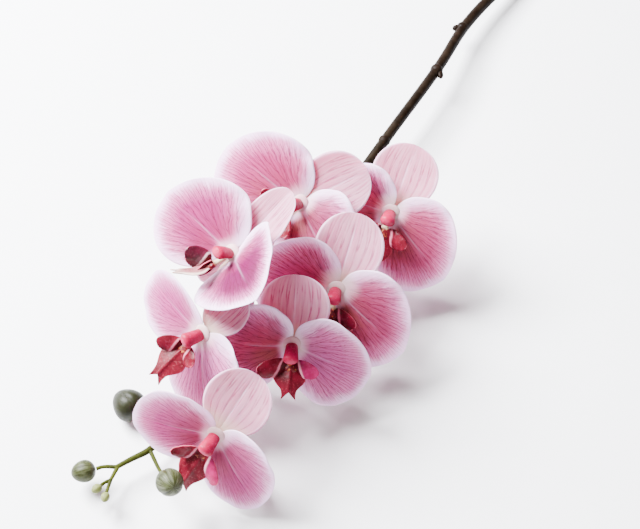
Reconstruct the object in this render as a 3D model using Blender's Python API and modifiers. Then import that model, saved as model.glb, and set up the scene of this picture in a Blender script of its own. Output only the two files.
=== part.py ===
"""A cut stem of a moth orchid, lying on its side: the stalk, seven open blooms and the buds at its tip.

Metres, +Z up. The origin is the small flat spot under the cut end of the stalk, and the stalk runs from
there along -Y. A bloom is set by its centre and the way it faces, and its blades are thin bent sheets.
The values below are in millimetres and degrees, and MM turns them into metres.
"""
import math
from dataclasses import dataclass, replace

import bmesh
import bpy
from mathutils import Matrix, Vector

MM = 0.001
OBJECT_NAME = "moth_orchid_stem"

# Stalk: points along its middle as x, y, z and radius, from the cut end to the tip
STALK_ROUTE = [
    (0, 9, 3.30, 3.5),
    (0, -9, 3.30, 3.5),
    (-2.6, -50, 5.0, 3.4),
    (-7.1, -108, 9.8, 3.4),
    (-9.4, -167.5, 14, 3.35),
    (-3.3, -213, 18, 3.2),
    (1, -280, 19, 3.1),
    (3, -325, 16, 2.9),
    (6, -370, 11, 2.6),
    (9, -420, 8.5, 2.3),
    (11, -468, 8.5, 2.0),
    (11, -503, 10, 1.9),
    (9, -525, 12, 1.8),
    (4, -536, 12, 1.5),
    (0.5, -544, 12, 1.3),
]
TUBE_STEPS = 2
TUBE_SIDES_LEVEL = 2
REST_CUT = (8, 60, 4)

TIP_BRANCH = [(1.2, -542, 12, 1.2), (3, -551, 12, 1.0)]

# Rings and bracts on the bare stalk: x, y, z, radius of the ring, heading of the bract and its length
STALK_JOINTS = [
    (-9.6, -174, 14.5, 3.9, 214, 6.0),
    (-3.0, -216, 18.1, 3.9, -25, 9.0),
    (1, -282, 19.0, 3.6, -60, 4.5),
]
RING_AXIS = (0.05, -1, 0.1)
RING_LENGTH = 2.2
BRACT_SEAT = 0.9
BRACT_HALF = 0.55
BRACT_LEAN = 0.6
BRACT_RISE = 0.25
RING_RINGS = 6
RING_SIDES = 8
BRACT_RINGS = 5
BRACT_SIDES = 6

# Blades
BLADE_THICKNESS = 0.8
PETAL_ROWS = 8
PETAL_COLUMNS = 6
SEPAL_ROWS = 6
SEPAL_COLUMNS = 4
FIRST_ANGLE = 9
LAST_ANGLE = 172
BLADE_ROOT = 3.4
PETAL_LIFT = 1.6
UNDER_LIFT = -1.8
LATERAL_RIGHT = -48
LATERAL_LEFT = 228

# Receptacle, column and lip in a bloom's own frame
KNOB_RADIUS = 3.0
KNOB_FRONT = 2.2
KNOB_BACK = 7.0
KNOB_MIDDLE = 2.5
KNOB_TAPER = 0.9
PEDICEL_RADIUS = 1.5
PEDICEL_FOOT = 1.15
PEDICEL_HEAD = 1.2
SKIN_SIDES = 8
COLUMN_LENGTH = 12.5
COLUMN_WIDE = 3.5
COLUMN_TALL = 2.5
COLUMN_START = 2.6
COLUMN_SHARES = (0.0, 0.25, 0.55, 0.8, 0.94, 1.0)
COLUMN_SWELL = (0.86, 0.92, 1.0, 1.1, 0.86, 0.42)
LIP_FOOT = (0, -3.1, 2.6)
LIP_CLAW = 10.4
CLAW_OVERRUN = 2.0
CLAW_SHARES = (0.0, 0.1, 0.4, 0.66, 0.88, 1.0)
CLAW_WIDE = (1.0, 1.4, 1.8, 3.4, 4.0, 1.4)
CLAW_TALL = (0.8, 1.2, 1.5, 2.0, 1.6, 0.7)
MIDLOBE_RISE = 0.6
MIDLOBE_TILT = 6
MIDLOBE_FOLD = -14
MIDLOBE_HALVES = (2.4, 5.0, 8.3, 8.7, 6.6, 4.2, 4.0)
HORN_NOTCH = 4.4
HORN_START = 0.72
HORN_MIDDLE = 0.62
LIP_THICKNESS = 1.0
LOBE_SEAT = (7.0, 1.6, 1.6)
LOBE_FOOT_HALF = 1.8
LOBE_FIRST_ANGLE = 14
LOBE_LAST_ANGLE = 168
LOBE_POWER = 0.8
LOBE_SKEW = 0.25
LOBE_CELLS = 4

# Buds: the gap between a bud and its stalk, how the stalk swells and bows, and how blunt the tip is
BUD_GAP = 0.3
BUD_STALK_FOOT = 1.2
BUD_STALK_HEAD = 1.1
BUD_AIM = 0.5
BUD_BOW = 0.35
BUD_BLUNT = 0.12
BUD_RINGS = 7
BUD_SIDES = 10


@dataclass(frozen=True)
class Blade:
    """A petal or sepal: the outline of the flat sheet, and how it bends away from its root."""

    turn: float = 0.0
    length: float = 45.0
    upper: float = 27.0
    lower: float = 26.0
    claw: float = 2.4
    rise: float = 12.0
    bend: float = -22.0
    cup: float = 0.35
    fold: float = 0.0
    power: float = 0.95
    shoulder: float = 0.0
    heel: float = 0.0


PETAL = Blade(shoulder=0.3)
DORSAL = Blade(length=38, upper=19, lower=19, rise=-12, bend=-16, cup=0.8)
LATERAL = Blade(length=38, upper=12.5, lower=12.5, rise=-14, bend=-14, cup=0.6)


@dataclass(frozen=True)
class Lobe:
    """A side lobe of the lip: how far it turns outwards, rises and leans over, and its outline."""

    spread: float = 50.0
    rise: float = 18.0
    lean: float = 140.0
    length: float = 15.0
    upper: float = 4.6
    lower: float = 5.0
    bend: float = 24.0
    cup: float = 5.0


LOBE = Lobe()


@dataclass(frozen=True)
class Bloom:
    """One open bloom: its centre, the way it faces, its roll about that direction, and its blades."""

    centre: tuple
    heading: float
    elevation: float
    roll: float
    joint: tuple
    leave: tuple
    left: Blade = PETAL
    right: Blade = PETAL
    dorsal: Blade = DORSAL
    side_left: Blade = LATERAL
    side_right: Blade = LATERAL
    column_pitch: float = 58.0
    lip_pitch: float = 32.0
    lip_yaw: float = 0.0
    lip_roll: float = 0.0
    lip_length: float = 23.0
    lip_bend: float = -34.0
    lobe_left: Lobe = LOBE
    lobe_right: Lobe = LOBE
    neck: float = 9.0


# Blooms from the cut end to the tip
BLOOMS = [
    Bloom((44, -344, 48), 25, 40, -14, (2, -312, 17), (10, 2, 6),
          left=replace(PETAL, turn=4, length=38, upper=24, lower=24, rise=0, bend=-30),
          right=replace(PETAL, turn=31, length=45),
          dorsal=replace(DORSAL, rise=-18), side_left=replace(LATERAL, rise=-28)),
    Bloom((1, -371, 54), 11, 50, -46, (4, -345, 14), (-4, 4, 10),
          left=replace(PETAL, turn=26, length=50, upper=28, lower=28),
          right=replace(PETAL, turn=-5, length=40, rise=20),
          dorsal=replace(DORSAL, length=39, upper=19.5, rise=0)),
    Bloom((48, -405, 49), 28, 39, -13, (7, -382, 11), (10, 2, 6),
          left=replace(PETAL, turn=6, lower=22, bend=-40), right=replace(PETAL, turn=25, length=46.5),
          dorsal=replace(DORSAL, length=40), lip_pitch=18, lip_yaw=6),
    Bloom((-2.4, -429.7, 71.5), -16, 54, -2, (9, -408, 8.5), (-8, 2, 10),
          left=replace(PETAL, turn=0, length=47, upper=30, rise=16, bend=-10),
          right=replace(PETAL, turn=0, rise=38, bend=-10, upper=31, lower=30,
                        heel=0.4, cup=0.8, shoulder=0.1),
          dorsal=replace(DORSAL, turn=0, length=43, upper=11, lower=17, rise=-7, bend=4, fold=10),
          side_left=replace(LATERAL, length=29), column_pitch=66,
          lip_pitch=24, lip_yaw=-14, lip_roll=52, lip_length=20, lip_bend=24,
          lobe_left=replace(LOBE, spread=8, rise=36, lean=92, upper=6.4, lower=6.4, bend=-10),
          lobe_right=replace(LOBE, spread=12, rise=-14, lean=100, length=11, upper=3, lower=3, bend=-20)),
    Bloom((46, -444, 44), 31, 25, -2, (10, -438, 8.5), (10, 2, 3),
          left=replace(PETAL, turn=6, length=41, rise=8, bend=-40),
          right=replace(PETAL, turn=20, length=43, upper=25, shoulder=0.36),
          dorsal=replace(DORSAL, rise=-20, length=34), neck=3, lip_pitch=50, lip_length=17,
          lobe_left=replace(LOBE, spread=56, length=17.5, upper=5, lower=6),
          lobe_right=replace(LOBE, spread=54)),
    Bloom((8, -471, 56), -8, 31, -32, (11, -476, 9), (-12, 10, 15),
          left=replace(PETAL, turn=24, length=42, rise=4, upper=14, lower=22, shoulder=0),
          right=replace(PETAL, turn=32, rise=8, lower=22, shoulder=0.4),
          dorsal=replace(DORSAL, turn=16, length=29, upper=12, lower=12, rise=-45, bend=42),
          neck=2, lip_pitch=42, lip_yaw=22,
          lobe_left=replace(LOBE, spread=34, length=14.5), lobe_right=replace(LOBE, spread=46, length=12)),
    Bloom((44, -510, 42), 12, 20, -20, (11, -503, 10), (14, 14, -2),
          left=replace(PETAL, turn=25, length=43, upper=24, lower=20, shoulder=0.18),
          right=replace(PETAL, turn=32, length=44, upper=25, lower=20),
          dorsal=replace(DORSAL, length=35, rise=-25, upper=18, lower=18),
          side_right=replace(LATERAL, length=41.2, rise=-18), neck=3,
          lobe_left=replace(LOBE, spread=44, length=16), lobe_right=replace(LOBE, spread=40, length=17)),
]


@dataclass(frozen=True)
class Bud:
    """One closed bud: its centre, the point its stalk leaves from, its half width and its length."""

    centre: tuple
    joint: tuple
    bow: tuple
    half: float
    length: float
    stalk: float = 1.0


BUDS = [
    Bud((-19, -508, 8.9), (11, -512, 11), (-6, -2, 0), 8.8, 19.0, 1.2),
    Bud((-12, -555, 12), (1.0, -543, 12), (-6, -2, 0), 6.0, 13.0),
    Bud((37, -542, 31), (9, -525, 12), (6, -4, -10), 7.2, 16.0),
    Bud((0.5, -559.5, 13), (3, -551, 12), (-2, -2, 0), 2.4, 6.0, 0.9),
    Bud((7.5, -561, 13.5), (3, -551, 12), (1, -3, 0), 2.3, 6.0, 0.9),
]


def clear_scene():
    """Removes the objects that a new scene starts with."""
    for item in list(bpy.data.objects):
        bpy.data.objects.remove(item, do_unlink=True)


def new_collection(name):
    """Adds a collection to the scene."""
    group = bpy.data.collections.new(name)
    bpy.context.scene.collection.children.link(group)
    return group


def plain_material(name, colour, roughness):
    """A Principled material with a base colour and a roughness."""
    made = bpy.data.materials.new(name)
    made.use_nodes = True
    shader = made.node_tree.nodes["Principled BSDF"]
    shader.inputs["Base Color"].default_value = (*colour, 1.0)
    shader.inputs["Roughness"].default_value = roughness
    return made


def sheet_object(name, points, faces, group):
    """An object from a list of points in millimetres and a list of faces."""
    mesh = bpy.data.meshes.new(name)
    mesh.from_pydata([tuple(value * MM for value in point) for point in points], [], faces)
    mesh.update()
    made = bpy.data.objects.new(name, mesh)
    group.objects.link(made)
    return made


def grid_faces(rows, columns, mirrored=False):
    """Triangles of a grid of points, each cell cut along its diagonal towards the middle of the grid."""
    faces = []
    for row in range(rows):
        for column in range(columns):
            a = row * (columns + 1) + column
            b = a + 1
            c = a + columns + 2
            d = a + columns + 1
            if column < columns / 2:
                pair = [(a, d, c), (a, c, b)]
            else:
                pair = [(a, d, b), (b, d, c)]
            faces += [face[::-1] for face in pair] if mirrored else pair
    return faces


def bend_sheet(x, y, shape):
    """Bends a point of the flat sheet: x along it from the root, y across it."""
    angle = math.radians(shape.fold)
    curl = math.radians(shape.cup)
    side = abs(y)
    across = side
    height = 0.0
    if curl:
        across = math.sin(curl * side) / curl
        height = (1 - math.cos(curl * side)) / curl
    depth = across * math.sin(angle) + height * math.cos(angle)
    across = (across * math.cos(angle) - height * math.sin(angle)) * (1 if y >= 0 else -1)
    start = math.radians(shape.rise)
    rate = math.radians(shape.bend) / shape.length
    slope = start + rate * x
    if rate:
        along = (math.sin(slope) - math.sin(start)) / rate
        lift = (math.cos(start) - math.cos(slope)) / rate
    else:
        along = x * math.cos(start)
        lift = x * math.sin(start)
    return (along - math.sin(slope) * depth, across, lift + math.cos(slope) * depth)


def blade_points(shape, rows, columns, mirrored=False):
    """Points of a petal or sepal in rows from its root to its tip."""
    points = []
    for row in range(rows + 1):
        share = row / rows
        angle = math.radians(FIRST_ANGLE + (LAST_ANGLE - FIRST_ANGLE) * share)
        x = shape.length * (1 - math.cos(angle)) / 2
        fullness = math.sin(angle) ** shape.power
        upper = max(shape.upper * fullness, shape.claw * (1 - share))
        lower = max(shape.lower * fullness, shape.claw * (1 - share))
        for column in range(columns + 1):
            side = 2 * column / columns - 1
            y = (upper if side > 0 else lower) * side
            skew = shape.shoulder * max(y, 0.0) + shape.heel * max(-y, 0.0)
            px, py, pz = bend_sheet(x - skew, y, shape)
            points.append((px + BLADE_ROOT, -py if mirrored else py, pz))
    return points


def thicken(item, thickness):
    """Gives a sheet its thickness, half to each side."""
    solid = item.modifiers.new("thickness", "SOLIDIFY")
    solid.thickness = thickness * MM
    solid.offset = 0.0


def add_blade(name, shape, parent, direction, lift, grid, mirrored, material, group):
    """A petal or sepal of one bloom, pointing the given way in the bloom's plane."""
    rows, columns = grid
    points = blade_points(shape, rows, columns, mirrored)
    item = sheet_object(name, points, grid_faces(rows, columns, mirrored), group)
    item.parent = parent
    item.location = (0, 0, lift * MM)
    item.rotation_euler = (0, 0, math.radians(direction))
    thicken(item, BLADE_THICKNESS)
    item.data.materials.append(material)
    return item


def bloom_frame(bloom):
    """World matrix of a bloom: X to the viewer's right, Y to its dorsal sepal, Z the way it faces."""
    heading = math.radians(bloom.heading)
    elevation = math.radians(bloom.elevation)
    facing = Vector((math.sin(heading) * math.cos(elevation),
                     -math.cos(heading) * math.cos(elevation),
                     math.sin(elevation)))
    right = Vector((math.cos(heading), math.sin(heading), 0))
    upward = facing.cross(right)
    frame = Matrix((right, upward, facing)).transposed().to_4x4()
    frame = frame @ Matrix.Rotation(math.radians(bloom.roll), 4, "Z")
    frame.translation = Vector(bloom.centre) * MM
    return frame


def section_rings(middle, radii, sides):
    """Rings of points round a line of centres in the plane x = 0, square to the line."""
    rings = []
    count = len(middle)
    for index, centre in enumerate(middle):
        before = Vector(middle[max(index - 1, 0)])
        after = Vector(middle[min(index + 1, count - 1)])
        ahead = (after - before).normalized()
        across = Vector((1, 0, 0))
        over = ahead.cross(across)
        wide, tall = radii[index]
        ring = []
        for step in range(sides):
            angle = 2 * math.pi * step / sides
            ring.append(Vector(centre) + across * wide * math.cos(angle) + over * tall * math.sin(angle))
        rings.append(ring)
    return rings


def ring_solid(name, rings, group):
    """A closed solid skinned over rings of points, with a fan at each end."""
    sides = len(rings[0])
    points = [tuple(point) for ring in rings for point in ring]
    faces = []
    for row in range(len(rings) - 1):
        for step in range(sides):
            a = row * sides + step
            b = row * sides + (step + 1) % sides
            faces.append((a, b, b + sides))
            faces.append((a, b + sides, a + sides))
    for ring, first, flip in ((rings[0], 0, True), (rings[-1], (len(rings) - 1) * sides, False)):
        centre = sum(ring, Vector()) / sides
        points.append(tuple(centre))
        hub = len(points) - 1
        for step in range(sides):
            a = first + step
            b = first + (step + 1) % sides
            faces.append((hub, b, a) if flip else (hub, a, b))
    item = sheet_object(name, points, faces, group)
    fix = bmesh.new()
    fix.from_mesh(item.data)
    bmesh.ops.recalc_face_normals(fix, faces=fix.faces)
    fix.to_mesh(item.data)
    fix.free()
    return item


def column_rings():
    """Rings of the column: it leaves the bloom straight ahead and swells to a round head."""
    middle = [(0, 0, COLUMN_START + COLUMN_LENGTH * share) for share in COLUMN_SHARES]
    radii = [(COLUMN_WIDE * size, COLUMN_TALL * size) for size in COLUMN_SWELL]
    return section_rings(middle, radii, SKIN_SIDES)


def bend_column(point, bloom):
    """Leans a point of the straight column towards the lip, more the further out it is."""
    x, y, z = point
    reach = z - COLUMN_START
    rate = math.radians(90 - bloom.column_pitch) / COLUMN_LENGTH
    angle = rate * reach
    down = (1 - math.cos(angle)) / rate
    forward = math.sin(angle) / rate
    return Vector((x, -down + y * math.cos(angle), COLUMN_START + forward + y * math.sin(angle)))


def add_column(name, bloom, parent, material, group):
    """The coral column at the middle of a bloom."""
    rings = [[bend_column(point, bloom) for point in ring] for ring in column_rings()]
    item = ring_solid(name, rings, group)
    item.parent = parent
    item.data.materials.append(material)
    return item


def midlobe_points(bloom):
    """Points of the lip's middle lobe: narrow neck, broad shoulders, and an end with two spread horns."""
    points = []
    rows = len(MIDLOBE_HALVES) - 1
    shape = Blade(length=bloom.lip_length, rise=MIDLOBE_TILT, bend=bloom.lip_bend, fold=MIDLOBE_FOLD, cup=0)
    for row, half in enumerate(MIDLOBE_HALVES):
        share = row / rows
        late = max(share - HORN_START, 0.0) / (1 - HORN_START)
        for column in range(LOBE_CELLS + 1):
            side = 2 * column / LOBE_CELLS - 1
            notch = HORN_NOTCH * late * late * (3 - 2 * late) * (abs(side) - HORN_MIDDLE)
            px, py, pz = bend_sheet(bloom.lip_length * share + notch, half * side, shape)
            points.append((px + LIP_CLAW - CLAW_OVERRUN, py, pz + MIDLOBE_RISE))
    return points


def side_lobe_points(lobe, side):
    """Points of one of the lip's two side lobes, a wing that folds over beside the column."""
    shape = Blade(length=lobe.length, rise=0, bend=lobe.bend, cup=lobe.cup)
    frame = Matrix.Translation(LOBE_SEAT) @ Matrix.Rotation(math.radians(lobe.spread), 4, "Z")
    frame = frame @ Matrix.Rotation(math.radians(-lobe.rise), 4, "Y")
    frame = frame @ Matrix.Rotation(math.radians(-lobe.lean), 4, "X")
    points = []
    for row in range(LOBE_CELLS + 1):
        share = row / LOBE_CELLS
        angle = math.radians(LOBE_FIRST_ANGLE + (LOBE_LAST_ANGLE - LOBE_FIRST_ANGLE) * share)
        for column in range(LOBE_CELLS + 1):
            across = 2 * column / LOBE_CELLS - 1
            half = (lobe.upper if across < 0 else lobe.lower) * math.sin(angle) ** LOBE_POWER
            y = max(half, LOBE_FOOT_HALF * (1 - share)) * across
            x = lobe.length * (1 - math.cos(angle)) / 2 - LOBE_SKEW * y
            px, py, pz = frame @ Vector(bend_sheet(x, y, shape))
            points.append((px, py * side, pz))
    return points


def claw_rings():
    """Rings of the claw, thin at its foot and widened to a saddle where it carries the lip's three lobes."""
    middle = [(0, 0, (LIP_CLAW + CLAW_OVERRUN) * share) for share in CLAW_SHARES]
    return section_rings(middle, list(zip(CLAW_TALL, CLAW_WIDE)), SKIN_SIDES)


def evaluated_copy(item):
    """A mesh of an object as its modifiers leave it, in world coordinates."""
    bpy.context.view_layer.update()
    graph = bpy.context.evaluated_depsgraph_get()
    mesh = bpy.data.meshes.new_from_object(item.evaluated_get(graph))
    mesh.transform(item.matrix_world)
    return mesh


def fused(name, first, rest, group):
    """One object from several that run into each other, joined by a Boolean union."""
    pieces = bpy.data.collections.new(name + "_pieces")
    bpy.context.scene.collection.children.link(pieces)
    for item in rest:
        for owner in list(item.users_collection):
            owner.objects.unlink(item)
        pieces.objects.link(item)
    join = first.modifiers.new("join", "BOOLEAN")
    join.operation = "UNION"
    join.operand_type = "COLLECTION"
    join.collection = pieces
    join.solver = "EXACT"
    mesh = evaluated_copy(first)
    made = bpy.data.objects.new(name, mesh)
    group.objects.link(made)
    for item in [first, *rest]:
        bpy.data.objects.remove(item, do_unlink=True)
    bpy.data.collections.remove(pieces)
    return made


def lip_body(name, bloom, group):
    """A lip as one body: claw, middle lobe and two side lobes, its claw at the origin along +X."""
    claw = ring_solid(name + "_claw", claw_rings(), group)
    claw.rotation_euler = (0, math.radians(90), 0)
    middle_faces = grid_faces(len(MIDLOBE_HALVES) - 1, LOBE_CELLS)
    lobes = [sheet_object(name + "_middle", midlobe_points(bloom), middle_faces, group)]
    for side, lobe in ((1, bloom.lobe_right), (-1, bloom.lobe_left)):
        points = side_lobe_points(lobe, side)
        faces = grid_faces(LOBE_CELLS, LOBE_CELLS, side < 0)
        lobes.append(sheet_object(f"{name}_side_{side + 1}", points, faces, group))
    for lobe in lobes:
        thicken(lobe, LIP_THICKNESS)
    return fused(name, claw, lobes, group)


def add_lip(name, bloom, parent, material, group):
    """The lip of a bloom, hung below its column and pointing forward and down."""
    item = lip_body(name, bloom, group)
    item.parent = parent
    pitch = math.radians(bloom.lip_pitch)
    ahead = Vector((0, -math.cos(pitch), math.sin(pitch)))
    across = Vector((1, 0, 0))
    over = ahead.cross(across)
    turned = Matrix((ahead, across, over)).transposed().to_4x4()
    turned = turned @ Matrix.Rotation(math.radians(bloom.lip_roll), 4, "X")
    sideways = Matrix.Rotation(math.radians(bloom.lip_yaw), 4, "Z")
    item.matrix_local = Matrix.Translation(Vector(LIP_FOOT) * MM) @ sideways @ turned
    item.data.materials.clear()
    item.data.materials.append(material)
    return item


def add_bloom(number, bloom, looks, group):
    """The seven nodes of one open bloom."""
    name = f"bloom_{number}"
    frame = bpy.data.objects.new(name, None)
    group.objects.link(frame)
    frame.matrix_world = bloom_frame(bloom)
    petal_grid = (PETAL_ROWS, PETAL_COLUMNS)
    sepal_grid = (SEPAL_ROWS, SEPAL_COLUMNS)
    add_blade(name + "_petal_right", bloom.right, frame, -bloom.right.turn, PETAL_LIFT,
              petal_grid, False, looks["petal"], group)
    add_blade(name + "_petal_left", bloom.left, frame, 180 + bloom.left.turn, PETAL_LIFT,
              petal_grid, True, looks["petal"], group)
    add_blade(name + "_dorsal_sepal", bloom.dorsal, frame, 90 + bloom.dorsal.turn, 0,
              sepal_grid, False, looks["sepal"], group)
    add_blade(name + "_sepal_right", bloom.side_right, frame, LATERAL_RIGHT + bloom.side_right.turn, 0,
              sepal_grid, False, looks["sepal"], group)
    add_blade(name + "_sepal_left", bloom.side_left, frame, LATERAL_LEFT - bloom.side_left.turn, UNDER_LIFT,
              sepal_grid, True, looks["sepal"], group)
    add_column(name + "_column", bloom, frame, looks["column"], group)
    add_lip(name + "_lip", bloom, frame, looks["lip"], group)


def bezier_tube(name, points, group, sides_level=TUBE_SIDES_LEVEL, steps=TUBE_STEPS):
    """A closed tube along a smooth curve through points given as x, y, z and radius in millimetres."""
    curve = bpy.data.curves.new(name, "CURVE")
    curve.dimensions = "3D"
    curve.bevel_depth = MM
    curve.bevel_resolution = sides_level
    curve.use_fill_caps = True
    spline = curve.splines.new("BEZIER")
    spline.resolution_u = steps
    spline.bezier_points.add(len(points) - 1)
    for knot, (x, y, z, radius) in zip(spline.bezier_points, points):
        knot.co = (x * MM, y * MM, z * MM)
        knot.radius = radius
        knot.handle_left_type = "AUTO"
        knot.handle_right_type = "AUTO"
    item = bpy.data.objects.new(name, curve)
    group.objects.link(item)
    mesh = evaluated_copy(item)
    clean = bmesh.new()
    clean.from_mesh(mesh)
    bmesh.ops.remove_doubles(clean, verts=clean.verts, dist=0.00001)
    bmesh.ops.recalc_face_normals(clean, faces=clean.faces)
    clean.to_mesh(mesh)
    clean.free()
    bpy.data.objects.remove(item, do_unlink=True)
    made = bpy.data.objects.new(name, mesh)
    group.objects.link(made)
    return made


def egg_solid(name, middle, ahead, half, length, group, rings, sides, blunt=0.0):
    """A closed egg along a direction, its broad end first, with its ends drawn to points."""
    turned = Vector(ahead).to_track_quat("Z", "X").to_matrix()
    rows = []
    for row in range(1, rings):
        angle = math.pi * row / rings
        along = -math.cos(angle) * length / 2
        wide = half * math.sin(angle) * (1 + blunt * math.cos(angle))
        rows.append([Vector((wide * math.cos(2 * math.pi * step / sides),
                             wide * math.sin(2 * math.pi * step / sides), along)) for step in range(sides)])
    points = [Vector((0, 0, -length / 2))] + [point for ring in rows for point in ring]
    points.append(Vector((0, 0, length / 2)))
    faces = []
    for step in range(sides):
        after = (step + 1) % sides
        faces.append((0, 1 + after, 1 + step))
        for row in range(len(rows) - 1):
            a = 1 + row * sides
            faces.append((a + step, a + after, a + sides + after))
            faces.append((a + step, a + sides + after, a + sides + step))
        last = 1 + (len(rows) - 1) * sides
        faces.append((last + step, last + after, len(points) - 1))
    world = [tuple(turned @ point + Vector(middle)) for point in points]
    return sheet_object(name, world, faces, group)


def pedicel(number, bloom, group):
    """The stalk of one bloom: from the main stalk to the knob that carries the blades."""
    frame = bloom_frame(bloom)
    facing = frame.to_3x3() @ Vector((0, 0, 1))
    centre = Vector(bloom.centre)
    start = Vector(bloom.joint)
    back = centre - facing * KNOB_BACK
    route = [
        (*start, PEDICEL_RADIUS * PEDICEL_FOOT),
        (*(start + Vector(bloom.leave)), PEDICEL_RADIUS),
        (*(back - facing * bloom.neck), PEDICEL_RADIUS),
        (*back, PEDICEL_RADIUS * PEDICEL_HEAD),
        (*(centre - facing * KNOB_MIDDLE), KNOB_RADIUS),
        (*(centre + facing * KNOB_FRONT), KNOB_RADIUS * KNOB_TAPER),
    ]
    return bezier_tube(f"pedicel_{number}", route, group)


def bud_axis(bud):
    """The direction in which a bud points, away from the bow of its stalk."""
    start = Vector(bud.joint)
    return (Vector(bud.centre) - start - Vector(bud.bow) * BUD_AIM).normalized()


def bud_stalk(number, bud, group):
    """The thin stalk of one bud, ended a small gap short of the bud."""
    start = Vector(bud.joint)
    ahead = bud_axis(bud)
    seat = Vector(bud.centre) - ahead * (bud.length / 2 + BUD_GAP)
    route = [
        (*start, bud.stalk * BUD_STALK_FOOT),
        (*(start.lerp(seat, 0.5) + Vector(bud.bow) * BUD_BOW), bud.stalk),
        (*seat, bud.stalk * BUD_STALK_HEAD),
    ]
    return bezier_tube(f"bud_stalk_{number}", route, group, 1, 4)


def joint_ring(index, joint, group):
    """A swollen ring on the bare stalk with a small bract beside it."""
    x, y, z, radius, heading, length = joint
    ring = egg_solid(f"ring_{index}", (x, y, z), RING_AXIS, radius, radius * RING_LENGTH, group,
                     RING_RINGS, RING_SIDES)
    angle = math.radians(heading)
    outward = Vector((math.cos(angle), math.sin(angle), 0))
    ahead = (outward + Vector((0, -BRACT_LEAN, BRACT_RISE))).normalized()
    middle = Vector((x, y, z)) + outward * radius * BRACT_SEAT
    bract = egg_solid(f"bract_{index}", middle, ahead, radius * BRACT_HALF, length, group,
                      BRACT_RINGS, BRACT_SIDES)
    return [ring, bract]


def add_stalk(material, group):
    """The stalk with the pedicels, the knobs, the joints and the thin stalks of the buds, as one body."""
    main = bezier_tube("stalk_tube", STALK_ROUTE, group)
    pieces = []
    for number, bloom in enumerate(BLOOMS, 1):
        pieces.append(pedicel(number, bloom, group))
    for number, bud in enumerate(BUDS, 1):
        pieces.append(bud_stalk(number, bud, group))
    pieces.append(bezier_tube("tip_branch", TIP_BRANCH, group, 1, 3))
    for index, joint in enumerate(STALK_JOINTS, 1):
        pieces += joint_ring(index, joint, group)
    whole = fused("stem", main, pieces, group)
    whole.data.materials.clear()
    whole.data.materials.append(material)
    return whole


def cut_rest_spot(stem, cutters):
    """Cuts the underside of the stalk flat at its cut end, where it rests."""
    width, length, depth = REST_CUT
    mesh = bpy.data.meshes.new("rest_cut")
    shape = bmesh.new()
    bmesh.ops.create_cube(shape, size=1.0)
    shape.to_mesh(mesh)
    shape.free()
    cutter = bpy.data.objects.new("rest_cut", mesh)
    cutter.scale = (width * MM, length * MM, depth * MM)
    cutter.location = (0, 0, -depth * MM / 2)
    cutter.hide_render = True
    cutter.display_type = "WIRE"
    cutters.objects.link(cutter)
    cut = stem.modifiers.new("rest_spot", "BOOLEAN")
    cut.operation = "DIFFERENCE"
    cut.object = cutter
    cut.solver = "EXACT"


def add_buds(material, group):
    """The closed buds at the tip."""
    for number, bud in enumerate(BUDS, 1):
        item = egg_solid(f"bud_{number}", bud.centre, bud_axis(bud), bud.half, bud.length, group,
                         BUD_RINGS, BUD_SIDES, BUD_BLUNT)
        item.data.materials.append(material)


def materials():
    """The part's materials by name."""
    return {
        "petal": plain_material("petal", (0.80, 0.36, 0.58), 0.5),
        "sepal": plain_material("sepal", (0.86, 0.66, 0.74), 0.5),
        "column": plain_material("column", (0.72, 0.12, 0.20), 0.4),
        "lip": plain_material("lip", (0.42, 0.04, 0.08), 0.35),
        "stem": plain_material("stem", (0.13, 0.12, 0.07), 0.45),
        "bud": plain_material("bud", (0.22, 0.24, 0.10), 0.5),
    }


def main():
    """Builds the whole stem."""
    clear_scene()
    group = new_collection(OBJECT_NAME)
    cutters = new_collection("cutters")
    looks = materials()
    for number, bloom in enumerate(BLOOMS, 1):
        add_bloom(number, bloom, looks, group)
    stem = add_stalk(looks["stem"], group)
    cut_rest_spot(stem, cutters)
    add_buds(looks["bud"], group)


main()
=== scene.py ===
"""The looks of a cut moth orchid stem that lies on a pale floor.

Every bloom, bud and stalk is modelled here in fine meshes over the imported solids, in the same frame:
metres, +Z up, the origin under the cut end of the stalk, and the stalk running towards -Y. The tables
hold millimetres and degrees.
"""
import logging
import math
from dataclasses import dataclass, replace
from enum import Enum

import bpy
import numpy as np
from mathutils import Matrix, Vector


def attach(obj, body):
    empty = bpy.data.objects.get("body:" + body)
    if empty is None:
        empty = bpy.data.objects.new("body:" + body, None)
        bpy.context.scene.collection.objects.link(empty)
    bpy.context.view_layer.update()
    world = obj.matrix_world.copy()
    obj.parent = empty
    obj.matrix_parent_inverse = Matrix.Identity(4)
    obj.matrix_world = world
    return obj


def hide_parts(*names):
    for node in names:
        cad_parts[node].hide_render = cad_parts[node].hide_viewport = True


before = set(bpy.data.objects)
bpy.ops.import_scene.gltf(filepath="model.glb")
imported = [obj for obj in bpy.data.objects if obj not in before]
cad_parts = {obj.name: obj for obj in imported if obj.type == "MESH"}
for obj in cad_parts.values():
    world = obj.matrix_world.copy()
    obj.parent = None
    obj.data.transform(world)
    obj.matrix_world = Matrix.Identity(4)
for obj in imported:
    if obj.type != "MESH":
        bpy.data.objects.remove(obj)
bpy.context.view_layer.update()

MM = 0.001
LOG = logging.getLogger("orchid")
FloatArray = np.ndarray
Colour = tuple[float, float, float]
Point = tuple[float, float, float]
Span = tuple[float, float]


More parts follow.
